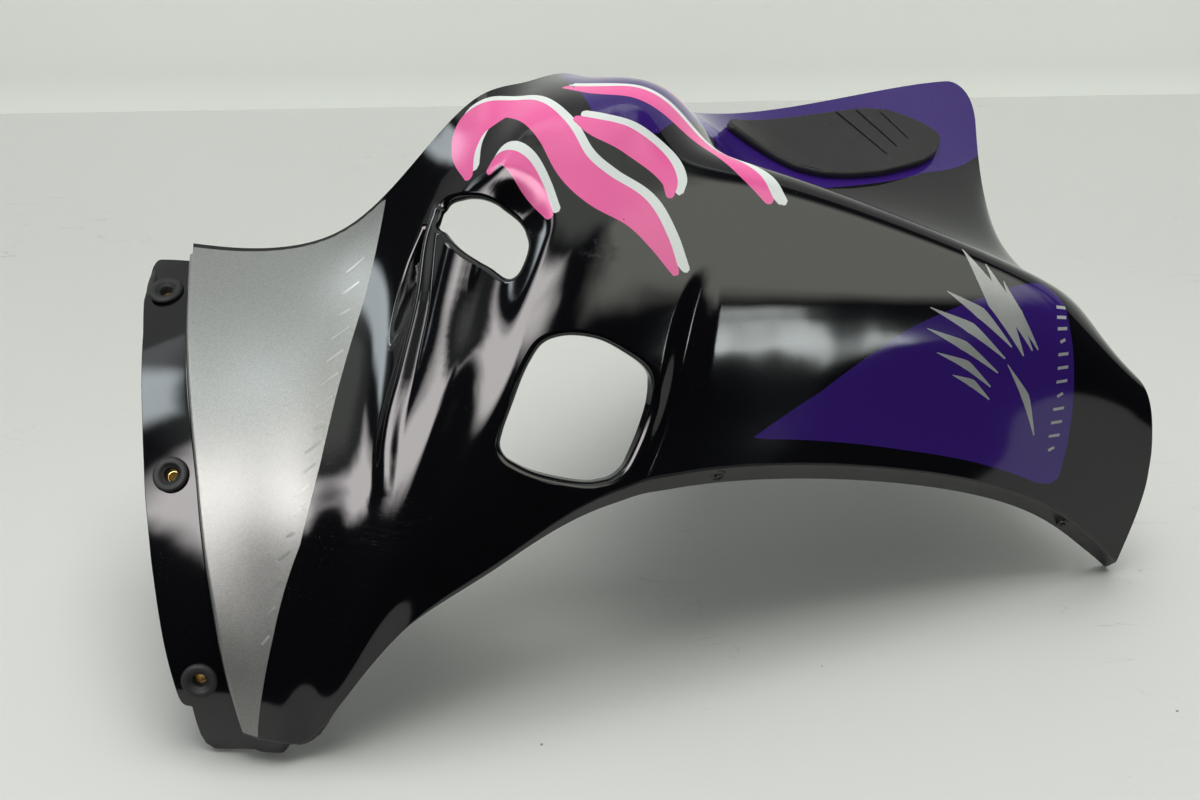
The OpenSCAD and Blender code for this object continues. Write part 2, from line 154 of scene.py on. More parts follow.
def unit(a: Array) -> Array:
    """Scale vectors to length one.

    Args:
        a: Vectors in the last axis.

    Returns:
        The same vectors at length one.
    """
    return a / np.maximum(np.linalg.norm(a, axis=-1, keepdims=True), 1e-12)


def cubic_weights(t: Array) -> Array:
    """Weights of a uniform cubic B-spline span.

    Args:
        t: Position in the span.

    Returns:
        Four weights per position.
    """
    return np.stack([(1 - t) ** 3, 3 * t**3 - 6 * t**2 + 4, -3 * t**3 + 3 * t**2 + 3 * t + 1, t**3], -1) / 6


def through(four: Sequence[Array], f: Array) -> Array:
    """Smooth curve through the middle two of four values.

    Args:
        four: Values before, at the start, at the end and after.
        f: Share of the way from start to end.

    Returns:
        Values on the curve.
    """
    a, b, c, d = four
    return 0.5 * (2 * b + (c - a) * f + (2 * a - 5 * b + 4 * c - d) * f**2 + (3 * b - a - 3 * c + d) * f**3)


def smooth_path(stations: Array, k: int) -> Array:
    """Smooth curve through stations.

    Args:
        stations: Values per station (n, m).
        k: Steps between neighbours.

    Returns:
        Values along the curve, the stations included.
    """
    ext = np.concatenate([[2 * stations[0] - stations[1]], stations, [2 * stations[-1] - stations[-2]]])
    t = np.linspace(0, len(stations) - 1, k * (len(stations) - 1) + 1)
    i = np.clip(t.astype(int), 0, len(stations) - 2)
    return through([ext[i + j] for j in range(4)], (t - i)[:, None])


def nearest_on_path(points: Array, path: Array) -> tuple[Array, Array]:
    """Nearest place on a path for each point.

    Args:
        points: Points (n, 3).
        path: Path stations (m, 3 + k): a place and k values carried along.

    Returns:
        Distances (n,) and values at the nearest place (n, k).
    """
    best = np.full(len(points), 1e9)
    values = np.zeros((len(points), path.shape[1] - 3))
    for a, b in zip(path[:-1], path[1:]):
        d = b[:3] - a[:3]
        t = np.clip((points - a[:3]) @ d / max(float(d @ d), 1e-9), 0, 1)
        dist = np.linalg.norm(points - a[:3] - t[:, None] * d, axis=1)
        near = dist < best
        best = np.where(near, dist, best)
        values[near] = a[3:] + t[near, None] * (b[3:] - a[3:])
    return best, values


@dataclass
class Feature:
    """A ridge, groove or fold with a bell-shaped section.

    Attributes:
        stations: Stations of (u, v, half width, height).
        path: Stations laid on the skin as (x, y, z, half width, height).
    """

    stations: Sequence[tuple[float, float, float, float]]
    path: Optional[Array] = field(default=None, repr=False)
    narrow: float = 12.0

    @property
    def is_narrow(self) -> bool:
        """Whether the skin's mesh follows the feature in rows."""
        return float(self.path[:, 3].max()) < self.narrow

    def height(self, points: Array) -> Array:
        """Height that the feature adds at each point of the plain surface.

        Args:
            points: Points on the plain surface.

        Returns:
            Heights in millimetres.
        """
        reach = self.path[:, 3].max()
        low, high = self.path[:, :3].min(0) - reach, self.path[:, :3].max(0) + reach
        near = np.all((points > low) & (points < high), axis=1)
        out = np.zeros(len(points))
        if near.any():
            dist, values = nearest_on_path(points[near], self.path)
            x = np.clip(dist / values[:, 0], 0, 1)
            out[near] = values[:, 1] * (1 - x * x) ** 2
        return out


# Ridge, leaf-shaped groove, air duct and the soft fold beside the belly
FEATURES = [
    Feature([(3.56, 6.3, 3, 1), (3.5, 5.98, 5, 3), (3.49, 5.32, 6.5, 3.5), (3.36, 4.48, 7, 3.5),
             (3.25, 3.75, 7, 3), (3.33, 2.9, 6, 0.5)]),
    Feature([(3.4, 6.2, 2.5, -2), (3.28, 5.92, 5, -6), (3.22, 5.61, 6, -6), (3.13, 5.2, 4, -4),
             (3.1, 4.9, 2, 0)]),
    Feature([(4.75, 5.25, 26, -9), (4.5, 4.74, 25, -8.5), (4.35, 4.2, 24, -7), (4.2, 3.6, 22, -5),
             (4.1, 2.8, 18, -3), (4.12, 2, 14, -1.2), (4.2, 1.3, 10, 0)]),
    Feature([(7.66, 3.3, 7, 0), (7.6, 2.9, 9, -1), (7.54, 2.3, 11, -2.2), (7.5, 1.4, 11.5, -2.6),
             (7.46, 0.6, 11, -2.2), (7.4, -0.1, 10, -1.6)]),
]


class Skin:
    """The smooth outer skin over (u, v)."""

    def __init__(self, rails: Sequence[Sequence[tuple[float, float, float]]],
                 features: Sequence[Feature]) -> None:
        """Fit the surface through the rails and place the features on it.

        Args:
            rails: Rails of the skin, front to far.
            features: Features to press into it.
        """
        net = np.array(rails, float).transpose(1, 0, 2)
        self.nu, self.nv = net.shape[:2]
        ctrl = net.copy()
        for _ in range(3):
            ctrl = ctrl + net - self._soften(self._soften(ctrl, 1), 0)
        for axis in (1, 0):
            c = np.moveaxis(ctrl, axis, 0)
            c = np.concatenate([[2 * c[0] - c[1]], c, [2 * c[-1] - c[-2]]])
            ctrl = np.moveaxis(c, 0, axis)
        self.ctrl = ctrl
        self.features: list[Feature] = []
        for f in features:
            st = smooth_path(np.array(f.stations, float), 6)
            f.path = np.hstack([self.base(st[:, 0], st[:, 1]), st[:, 2:]])
            self.features.append(f)

    @staticmethod
    def _soften(a: Array, axis: int) -> Array:
        """Values of the curve at its knots along one axis."""
        a = np.moveaxis(a, axis, 0)
        out = a.copy()
        out[1:-1] = (a[:-2] + 4 * a[1:-1] + a[2:]) / 6
        return np.moveaxis(out, 0, axis)

    @staticmethod
    def _pairs(u: Array, v: Array) -> tuple[Array, Array]:
        """Stations and rails as arrays of the same length."""
        return np.broadcast_arrays(*(np.atleast_1d(np.asarray(a, float)) for a in (u, v)))

    def base(self, u: Array, v: Array) -> Array:
        """Points of the plain surface.

        Args:
            u: Stations.
            v: Rails.

        Returns:
            Points (n, 3).
        """
        u, v = self._pairs(u, v)
        i = np.clip(np.floor(u).astype(int), 0, self.nu - 2)
        j = np.clip(np.floor(v).astype(int), 0, self.nv - 2)
        wu, wv = cubic_weights(u - i), cubic_weights(v - j)
        out = np.zeros(u.shape + (3,))
        for a in range(4):
            for b in range(4):
                out += (wu[..., a] * wv[..., b])[..., None] * self.ctrl[i + a, j + b]
        return out

    def point(self, u: Array, v: Array) -> Array:
        """Points of the outer skin, features included.

        Args:
            u: Stations.
            v: Rails.

        Returns:
            Points (n, 3).
        """
        u, v = self._pairs(u, v)
        p = self.base(u, v)
        height = sum(f.height(p) for f in self.features)
        return p + self.base_normal(u, v) * height[:, None]

    @staticmethod
    def _slopes(surface: Callable[[Array, Array], Array], u: Array, v: Array,
                e: float) -> tuple[Array, Array]:
        """Changes of a surface over a step of e to both sides, along u and along v."""
        return surface(u + e, v) - surface(u - e, v), surface(u, v + e) - surface(u, v - e)

    def base_normal(self, u: Array, v: Array) -> Array:
        """Outward normals of the plain surface at (u, v)."""
        return unit(np.cross(*self._slopes(self.base, u, v, EPS)))

    def normal(self, u: Array, v: Array, e: float = 0.012) -> Array:
        """Outward normals of the skin, features included, at (u, v)."""
        return unit(np.cross(*self._slopes(self.point, np.asarray(u, float), np.asarray(v, float), e)))

    def v_end(self, u: Array) -> Array:
        """Last rail at each station: the wing's far corner is rounded."""
        s = np.maximum(0, (np.asarray(u, float) - (self.nu - 1 - 0.55)) / 0.55)
        return self.nv - 1 - 0.3 * (1 - np.sqrt(np.maximum(0, 1 - s * s)))

    def step_of(self, u: Array, v: Array, move: Array, plain: bool = False) -> Array:
        """Change in (u, v) that moves a point of the skin by a vector along it.

        Args:
            u: Stations.
            v: Rails.
            move: Wanted moves (n, 3) in millimetres.
            plain: Whether the surface without its features is meant.

        Returns:
            Changes (n, 2).
        """
        slopes = self._slopes(self.base if plain else self.point, u, v, EPS)
        jac = np.stack(slopes, -1) / (2 * EPS)
        return np.einsum("nij,nj->ni", np.linalg.pinv(jac), move)

    def out_u(self, u: Array, v: Array) -> Array:
        """Unit direction that leaves the skin at its windscreen edge."""
        return unit(self.base(u, v) - self.base(np.asarray(u) + 0.05, v))

    def out_v(self, u: Array, v: Array) -> Array:
        """Unit direction that leaves the skin at its front edge."""
        return unit(self.base(u, v) - self.base(u, np.asarray(v) + 0.05))


def smooth_loop(outline: Sequence[Pair], k: int) -> Array:
    """Closed smooth curve through an outline.

    Args:
        outline: Corner points, counter-clockwise.
        k: Points per corner.

    Returns:
        Points (n, 2).
    """
    pts = np.array(outline, float)
    out = []
    f = (np.arange(k) / k)[:, None]
    for i in range(len(pts)):
        out.append(through([pts[(i + j - 1) % len(pts)] for j in range(4)], f))
    return np.vstack(out)


def even_params(curve: Callable[[Array], Array], a: float, b: float, step: float) -> Array:
    """Parameters that split a curve into even lengths.

    Args:
        curve: Points of the curve for an array of parameters.
        a: First parameter.
        b: Last parameter.
        step: Length of each piece in millimetres.

    Returns:
        Parameters from a to b.
    """
    t = np.linspace(a, b, 600)
    p = curve(t)
    s = np.concatenate([[0], np.cumsum(np.linalg.norm(np.diff(p, axis=0), axis=1))])
    n = max(2, int(round(s[-1] / step)) + 1)
    return np.interp(np.linspace(0, s[-1], n), s, t)


def inside(poly: Array, pts: Array) -> Array:
    """Even-odd test of points against a closed polygon.

    Args:
        poly: Corners (m, 2).
        pts: Points (n, 2).

    Returns:
        True where a point lies inside.
    """
    odd = np.zeros(len(pts), bool)
    x, y = pts[:, 0], pts[:, 1]
    for (x0, y0), (x1, y1) in zip(poly, np.roll(poly, -1, axis=0)):
        if y0 == y1:
            continue
        cross = ((y0 > y) != (y1 > y)) & (x < (x1 - x0) * (y - y0) / (y1 - y0) + x0)
        odd ^= cross
    return odd


def away_from(pts: Array, lines: Sequence[Array], gap: float) -> Array:
    """Test of points for a gap to all lines, in 2-D.

    Args:
        pts: Points (n, 2).
        lines: Lines as points (m, 2).
        gap: Least distance.

    Returns:
        True where a point keeps the gap.
    """
    keep = np.ones(len(pts), bool)
    flat = np.hstack([pts, np.zeros((len(pts), 1))])
    for line in lines:
        path = np.hstack([line, np.zeros((len(line), 1))])
        keep &= nearest_on_path(flat, path)[0] > gap
    return keep


class MeshBag:
    """Points, normals, faces and per-point layers of one piece, in millimetres."""

    def __init__(self) -> None:
        """Start empty."""
        self.points: list[Array] = []
        self.normals: list[Array] = []
        self.faces: list[tuple[int, ...]] = []
        self.face_slots: list[int] = []
        self.layers: dict[str, list[Array]] = {}
        self.count = 0

    def add(self, points: Array, normals: Array, faces: Sequence[Sequence[int]], slot: int = 0,
            **layers: Array) -> int:
        """Add a patch.

        Args:
            points: Points (n, 3).
            normals: Normals (n, 3).
            faces: Faces by index into these points.
            slot: Material slot of the faces.
            layers: Values per point.

        Returns:
            Index of the patch's first point.
        """
        start = self.count
        self.points.append(points)
        self.normals.append(normals)
        for name in set(self.layers) | set(layers):
            if name not in self.layers:
                self.layers[name] = [np.full(start, FAR)]
            self.layers[name].append(np.asarray(layers.get(name, np.full(len(points), FAR)), float))
        self.count += len(points)
        self.faces.extend(tuple(int(i) + start for i in f) for f in faces)
        self.face_slots.extend([slot] * len(faces))
        return start

    def grid(self, points: Array, normals: Array, closed: bool = False, slot: int = 0,
             **layers: Array) -> None:
        """Add a grid of points (rows, cols, 3) as quads.

        Args:
            points: Grid of points.
            normals: Grid of normals.
            closed: Whether the last column joins the first.
            slot: Material slot.
            layers: Values as grids (rows, cols).
        """
        r, c = points.shape[:2]
        faces = []
        for i in range(r - 1):
            for j in range(c if closed else c - 1):
                a, b = i * c + j, i * c + (j + 1) % c
                faces.append((a, b, b + c, a + c))
        self.add(points.reshape(-1, 3), normals.reshape(-1, 3), faces, slot,
                 **{k: np.asarray(x).reshape(-1) for k, x in layers.items()})

    def build(self, name: str, materials: Sequence[bpy.types.Material], slot: Slot,
              replaces: Sequence[str] = ()) -> bpy.types.Object:
        """Weld the patches, turn each face to its normals, and write the piece to Blender.

        Args:
            name: Name of the piece.
            materials: Materials by slot.
            slot: Not used.
            replaces: CAD nodes that the piece stands for.

        Returns:
            The new object.
        """
        pts, nrm = np.vstack(self.points), unit(np.vstack(self.normals))
        pts = np.clip(pts, BOX_LOW, BOX_HIGH)
        _, first, inverse = np.unique(np.round(pts * 500).astype(np.int64), axis=0, return_index=True,
                                      return_inverse=True)
        inverse = inverse.reshape(-1)
        faces, kinds, sources = [], [], []
        for size in sorted({len(f) for f in self.faces}):
            index = np.array([f for f in self.faces if len(f) == size])
            slots = [k for f, k in zip(self.faces, self.face_slots) if len(f) == size]
            corner = pts[index]
            area = np.cross(corner, np.roll(corner, -1, axis=1)).sum(1)
            turned = np.einsum("ij,ij->i", area, nrm[index].sum(1)) < 0
            index[turned] = index[turned][:, ::-1]
            for f, kind in zip(index.tolist(), slots):
                kept = [i for k, i in enumerate(f) if inverse[i] != inverse[f[k - 1]]]
                ids = [int(inverse[i]) for i in kept]
                if len(ids) >= 3 and len(set(ids)) == len(ids):
                    faces.append(ids)
                    kinds.append(kind)
                    sources.extend(kept)
        mesh = bpy.data.meshes.new(name)
        mesh.from_pydata((pts[first] * MM).tolist(), [], faces)
        mesh.polygons.foreach_set("use_smooth", [True] * len(faces))
        mesh.polygons.foreach_set("material_index", kinds)
        for layer, parts in self.layers.items():
            attr = mesh.attributes.new(layer, "FLOAT", "POINT")
            attr.data.foreach_set("value", np.concatenate(parts)[first].astype(np.float32))
        mesh.update()
        mesh.normals_split_custom_set(nrm[sources].tolist())
        obj = bpy.data.objects.new(name, mesh)
        bpy.context.scene.collection.objects.link(obj)
        for m in materials:
            mesh.materials.append(m)
        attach(obj, "root")
        if replaces:
            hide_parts(*replaces)
        log.info("%s: %d points, %d faces", name, len(mesh.vertices), len(mesh.polygons))
        return obj


Mapping = Callable[[Array, Array], tuple[Array, Array]]


@dataclass
class Plate:
    """A curved plate with holes, meshed over two parameters.

    Attributes:
        mapping: Gives points and normals of the top side for (a, b).
        border: Outer loop of (a, b), counter-clockwise seen from outside.
        scale: Size of a and b in millimetres, for even triangles.
        thickness: Thickness below the top side.
        holes: Loops of (a, b), counter-clockwise too.
        lines: Lines of (a, b) that the triangles must follow.
        open_edge: For each border segment, whether it gets an edge.
        edge_holes: Whether the holes get an edge.
        bulge: How far the rounded edge stands out.
        squareness: 1 gives a round edge, less gives a squarer one.
    """

    mapping: Mapping
    border: Array
    scale: Pair
    thickness: float
    holes: Sequence[Array] = ()
    lines: Sequence[Array] = ()
    open_edge: Optional[Array] = None
    edge_holes: bool = True
    bulge: float = 0.3
    squareness: float = 0.8

    def _hand(self) -> float:
        """1 where (a, b) are right-handed seen from outside, -1 where they aren't."""
        a, b = self.border.mean(0)
        p, n = self.mapping(np.array([a, a + 1e-3, a]), np.array([b, b, b + 1e-3]))
        return float(np.sign(np.cross(p[1] - p[0], p[2] - p[0]) @ n[0]))

    def mesh(self, bag: MeshBag, grid: Array, layers: Callable[[Array, Array], dict[str, Array]],
             slots: tuple[int, int, int], gap: float, lower: Optional[Array] = None) -> None:
        """Triangulate both sides and close the edges.

        Args:
            bag: Bag that takes the patches.
            grid: Inner points (n, 2).
            layers: Values per point for (points on the plain surface, (a, b)).
            slots: Material slots of the top side, the lower side and the edge.
            gap: Least distance of inner points from lines and loops.
            lower: Inner points of the lower side, where it has its own.
        """
        ab, tri = self._triangles(grid, self.lines, gap)
        top, nrm = self.mapping(ab[:, 0], ab[:, 1])
        bag.add(top, nrm, tri.tolist(), slots[0], **layers(top, ab))
        if lower is not None:
            ab, tri = self._triangles(lower, (), gap)
            top, nrm = self.mapping(ab[:, 0], ab[:, 1])
        bag.add(top - nrm * self.thickness, -nrm, tri[:, ::-1].tolist(), slots[1], **layers(top, ab))
        if self.open_edge is None or self.open_edge.any():
            self._edge(bag, self.border, self.open_edge, slots[2], layers)
        if self.edge_holes:
            for h in self.holes:
                self._edge(bag, h[::-1], None, slots[2], layers)

    def _triangles(self, grid: Array, lines: Sequence[Array], gap: float) -> tuple[Array, Array]:
        """Triangles between the loops, through the inner points.

        Args:
            grid: Inner points (n, 2).
            lines: Lines that the triangles follow.
            gap: Least distance of inner points from lines and loops.

        Returns:
            Corners (m, 2) and triangles by index.
        """
        k = np.array(self.scale)
        loops = [self.border * k] + [h * k for h in self.holes]
        lines = [l * k for l in lines]
        g = grid * k
        g = g[inside(loops[0], g)]
        for h in loops[1:]:
            g = g[~inside(h, g)]
        g = g[away_from(g, [np.vstack([l, l[:1]]) for l in loops] + lines, gap)]
        coords, edges = [], []
        for l in loops:
            s = sum(map(len, coords))
            coords.append(l)
            edges += [(s + i, s + (i + 1) % len(l)) for i in range(len(l))]
        for l in lines:
            s = sum(map(len, coords))
            coords.append(l)
            edges += [(s + i, s + i + 1) for i in range(len(l) - 1)]
        coords.append(g)
        flat = np.vstack(coords)
        verts, _, tris, orig, _, _ = delaunay_2d_cdt([Vector(p) for p in flat], edges, [], 0, 1e-5, True)
        xy = np.array([tuple(p) for p in verts])
        # points that were given keep their exact place, so that neighbours meet
        for i, o in enumerate(orig):
            if o:
                xy[i] = flat[o[0]]
        tri = np.array([t for t in tris if len(t) == 3])
        mid = xy[tri].mean(1)
        keep = inside(loops[0], mid)
        for h in loops[1:]:
            keep &= ~inside(h, mid)
        tri = tri[keep]
        return xy / k, tri

    def _edge(self, bag: MeshBag, loop: Array, mask: Optional[Array], slot: int,
              layers: Callable[[Array, Array], dict[str, Array]]) -> None:
        """Close one loop with a rounded edge.

        Args:
            bag: Bag that takes the edge.
            loop: Loop of (a, b).
            mask: For each segment, whether it gets an edge, or None for all.
            slot: Material slot.
            layers: Values per point.
        """
        p, n = self.mapping(loop[:, 0], loop[:, 1])
        tangent = unit(np.roll(p, -1, 0) - np.roll(p, 1, 0))
        out = unit(np.cross(tangent, n)) * self._hand()
        values = layers(p, loop)
        phi = np.linspace(0, math.pi, 7)
        c, s = np.cos(phi), np.sin(phi)
        c2 = np.sign(c) * np.abs(c) ** self.squareness
        s2 = s**self.squareness
        centre = p - n * self.thickness / 2
        rows = (centre[None] + n[None] * (c2[:, None, None] * self.thickness / 2)
                + out[None] * (s2[:, None, None] * self.bulge))
        rows[0], rows[-1] = p, p - n * self.thickness
        norms = n[None] * c[:, None, None] + out[None] * s[:, None, None]
        segments = range(len(loop)) if mask is None else np.flatnonzero(mask)
        m = len(loop)
        faces = []
        for i in segments:
            j = (i + 1) % m
            for r in range(len(phi) - 1):
                faces.append((r * m + i, (r + 1) * m + i, (r + 1) * m + j, r * m + j))
        tiled = {key: np.tile(val, len(phi)) for key, val in values.items()}
        bag.add(rows.reshape(-1, 3), norms.reshape(-1, 3), faces, slot, **tiled)


def frame_at(n: Array) -> Array:
    """Rows x, y, z of a frame that stands on a normal."""
    x = unit(np.cross((0.0, 1.0, 0.0), n))
    return np.stack([x, np.cross(n, x), n])


def lathe(bag: MeshBag, p: Array, axes: Array, profile: Sequence[Pair], segments: int, sharp: bool = False,
          wobble: Optional[Callable[[Array, float], Array]] = None) -> None:
    """Turn a profile of (radius, height) about a local z axis.

    Args:
        bag: Bag that takes the surface.
        p: Origin.
        axes: Rows x, y, z of the local frame.
        profile: Open profile, listed so that the outside is on its right.
        segments: Segments round.
        sharp: Whether each straight of the profile has its own normals.
        wobble: Optional change of radius for (angles, height).
    """
    prof = np.array(profile, float)
    ang = np.linspace(0, 2 * math.pi, segments, endpoint=False)
    ring = np.cos(ang)[:, None] * axes[0] + np.sin(ang)[:, None] * axes[1]
    d = unit(np.diff(prof, axis=0))
    side = np.stack([d[:, 1], -d[:, 0]], -1)
    if sharp:
        strips = [((i, i + 1), (side[i], side[i])) for i in range(len(d))]
    else:
        middle = [unit(a + b) for a, b in zip(side[:-1], side[1:])]
        strips = [(range(len(prof)), [side[0], *middle, side[-1]])]
    for rows, normals in strips:
        pts = []
        for radius, height in prof[list(rows)]:
            r = radius + (wobble(ang, height) if wobble else 0 * ang)
            pts.append(p + ring * r[:, None] + axes[2] * height)
        nrm = [ring * out + axes[2] * up for out, up in normals]
        bag.grid(np.array(pts), np.array(nrm), closed=True)


class NodeTree:
    """Small helper that writes shader nodes."""

    def __init__(self, tree: bpy.types.NodeTree) -> None:
        """Wrap a node tree.

        Args:
            tree: The tree to write to.
        """
        self.tree = tree
        self.place = 0

    def node(self, kind: str, inputs: Optional[dict] = None, **props: object) -> bpy.types.Node:
        """Add a node, set its properties, and set or link its inputs.

        Args:
            kind: Blender's node type.
            inputs: Values or sockets by input name or index.
            props: Node properties.

        Returns:
            The new node.
        """
        n = self.tree.nodes.new(kind)
        n.location = (self.place % 8 * 200, -(self.place // 8) * 260)
        self.place += 1
        for key, value in props.items():
            setattr(n, key, value)
        for key, value in (inputs or {}).items():
            if isinstance(value, bpy.types.NodeSocket):
                self.tree.links.new(value, n.inputs[key])
            else:
                n.inputs[key].default_value = value
        return n

    def math(self, op: str, a: object, b: object = 0.0) -> bpy.types.NodeSocket:
        """Add a maths node and return its output."""
        return self.node("ShaderNodeMath", {0: a, 1: b}, operation=op).outputs[0]

    def ramp(self, value: object, low: float, high: float) -> bpy.types.NodeSocket:
        """Smooth 0 to 1 step of a value between two limits."""
        return self.node("ShaderNodeMapRange", {0: value, 1: low, 2: high, 3: 0.0, 4: 1.0},
                         interpolation_type="SMOOTHSTEP").outputs[0]

    def inverse(self, value: object) -> bpy.types.NodeSocket:
        """One minus a value."""
        return self.math("SUBTRACT", 1.0, value)

    def coord(self) -> bpy.types.NodeSocket:
        """Place in object space."""
        return self.node("ShaderNodeTexCoord").outputs["Object"]

    def mix(self, factor: object, a: object, b: object) -> bpy.types.NodeSocket:
        """Mix two colours by a factor."""
        a, b = ((*c, 1.0) if isinstance(c, tuple) else c for c in (a, b))
        return self.node("ShaderNodeMix", {0: factor, 6: a, 7: b}, data_type="RGBA").outputs[2]

    def mix_value(self, factor: object, a: object, b: object) -> bpy.types.NodeSocket:
        """Mix two numbers by a factor."""
        return self.node("ShaderNodeMix", {0: factor, 2: a, 3: b}, data_type="FLOAT").outputs[0]

    def layer(self, name: str) -> bpy.types.NodeSocket:
        """Value of a per-point layer."""
        return self.node("ShaderNodeAttribute", attribute_name=name).outputs["Fac"]

    def noise(self, scale: float, detail: float = 2.0, rough: float = 0.5,
              vector: object = None) -> bpy.types.NodeSocket:
        """Noise value in object space."""
        place = self.coord() if vector is None else vector
        return self.node("ShaderNodeTexNoise", {"Vector": place, "Scale": scale, "Detail": detail,
                                                "Roughness": rough}).outputs["Fac"]


def empty_material(name: str) -> tuple[bpy.types.Material, NodeTree]:
    """A new material without nodes, and its helper."""
    mat = bpy.data.materials.new(name)
    mat.use_nodes = True
    mat.node_tree.nodes.clear()
    return mat, NodeTree(mat.node_tree)


class Effects:
    """Shader node groups for effects that several materials share."""

    # Hairline directions: turn about the part and a shift that tells them apart
    HAIRLINES = ((0.5, 0.0), (-0.9, 3.1))

    def __init__(self) -> None:
        """Build all groups."""
        self.dust = self._group("dust", self._dust)
        self.scratches = self._group("scratches", self._scratches)
        log.info("effects: dust and scratches")

    @staticmethod
    def _group(name: str, fill: Callable[[NodeTree], bpy.types.NodeSocket]) -> bpy.types.NodeTree:
        """Build a group with an Amount going in and a Mask coming out.

        Args:
            name: Name of the group.
            fill: Writes the effect and gives its full mask.

        Returns:
            The group.
        """
        group = bpy.data.node_groups.new(name, "ShaderNodeTree")
        group.interface.new_socket(name="Amount", in_out="INPUT", socket_type="NodeSocketFloat")
        group.interface.new_socket(name="Mask", in_out="OUTPUT", socket_type="NodeSocketFloat")
        t = NodeTree(group)
        amount = t.node("NodeGroupInput").outputs["Amount"]
        t.node("NodeGroupOutput", {"Mask": t.math("MULTIPLY", fill(t), amount)})
        return group

    @staticmethod
    def _dust(t: NodeTree) -> bpy.types.NodeSocket:
        """Fine pale dust that lies on upward faces."""
        normal = t.node("ShaderNodeNewGeometry").outputs["Normal"]
        up = t.node("ShaderNodeSeparateXYZ", {0: normal}).outputs[2]
        patch = t.ramp(t.noise(28, 4, 0.6), 0.42, 0.75)
        speck = t.ramp(t.noise(1300, 1), 0.70, 0.78)
        return t.math("MULTIPLY", t.math("MULTIPLY", speck, patch), t.ramp(up, 0.0, 0.9))

    def _scratches(self, t: NodeTree) -> bpy.types.NodeSocket:
        """Thin hairline scratches in two directions."""
        masks = []
        for turn, shift in self.HAIRLINES:
            m = t.node("ShaderNodeMapping", {"Vector": t.coord(), "Rotation": (0.4, turn, turn),
                                             "Scale": (1, 1, 14), "Location": (shift, shift, 0)})
            line = t.math("ABSOLUTE", t.math("SUBTRACT", t.noise(42, 2, 0.6, m.outputs[0]), 0.5))
            thin = t.inverse(t.ramp(line, 0.0, 0.0014))
            masks.append(t.math("MULTIPLY", thin, t.ramp(t.noise(13), 0.66, 0.78)))
        return t.math("MAXIMUM", *masks)

    @staticmethod
    def use(t: NodeTree, group: bpy.types.NodeTree, amount: float) -> bpy.types.NodeSocket:
        """Place a group in a material at an amount and return its mask."""
        return t.node("ShaderNodeGroup", {"Amount": amount}, node_tree=group).outputs[0]


@dataclass(frozen=True)
class Finish:
    """Plain values of one finish.

    Attributes:
        grain: Strength of the fine bumps.
        grain_scale: How fine they are.
        dust: Amount of dust.
        wear: Amount of hairline scratches.
    """

    name: str
    base: Colour
    roughness: float
    metallic: float = 0.0
    specular: float = 0.5
    coat: float = 0.0
    grain: float = 0.0
    grain_scale: float = 400.0
    dust: float = 0.0
    wear: float = 0.0


BARE_BLACK = Finish("bare_black_plastic", (0.012, 0.012, 0.013), 0.42, grain=0.25, grain_scale=900, dust=0.5)
SATIN_LIP = Finish("satin_lip", (0.016, 0.017, 0.018), 0.34, grain=0.12, grain_scale=700, dust=0.25, wear=0.4)
MATT_COVER = Finish("matt_cover", (0.014, 0.014, 0.015), 0.5, grain=0.5, grain_scale=1100, dust=0.6,
                    wear=0.3)
RUBBER = Finish("rubber", (0.013, 0.013, 0.014), 0.62, specular=0.35, grain=0.4, grain_scale=700, dust=0.5)
BRASS = Finish("brass", (0.62, 0.44, 0.18), 0.28, metallic=1.0, grain=0.2, grain_scale=1500, wear=0.5)
STEEL = Finish("steel", (0.42, 0.42, 0.44), 0.32, metallic=1.0, grain=0.2, grain_scale=1500)
WHITE_MARK = Finish("white_mark", (0.60, 0.62, 0.60), 0.22, coat=0.3, grain=0.05, wear=0.3)

# Colours of the paint and its decals
BLACK: Colour = (0.006, 0.006, 0.008)
PINK: Colour = (0.78, 0.115, 0.34)
PURPLE: Colour = (0.030, 0.010, 0.135)
WHITE: Colour = (0.66, 0.70, 0.68)
SILVER: Colour = (0.27, 0.275, 0.265)
DUST: Colour = (0.42, 0.42, 0.40)


def tinted(colour: Colour, share: float) -> Colour:
    """A colour made lighter or darker by a share, up to white."""
    return tuple(min(1.0, c * share) for c in colour)


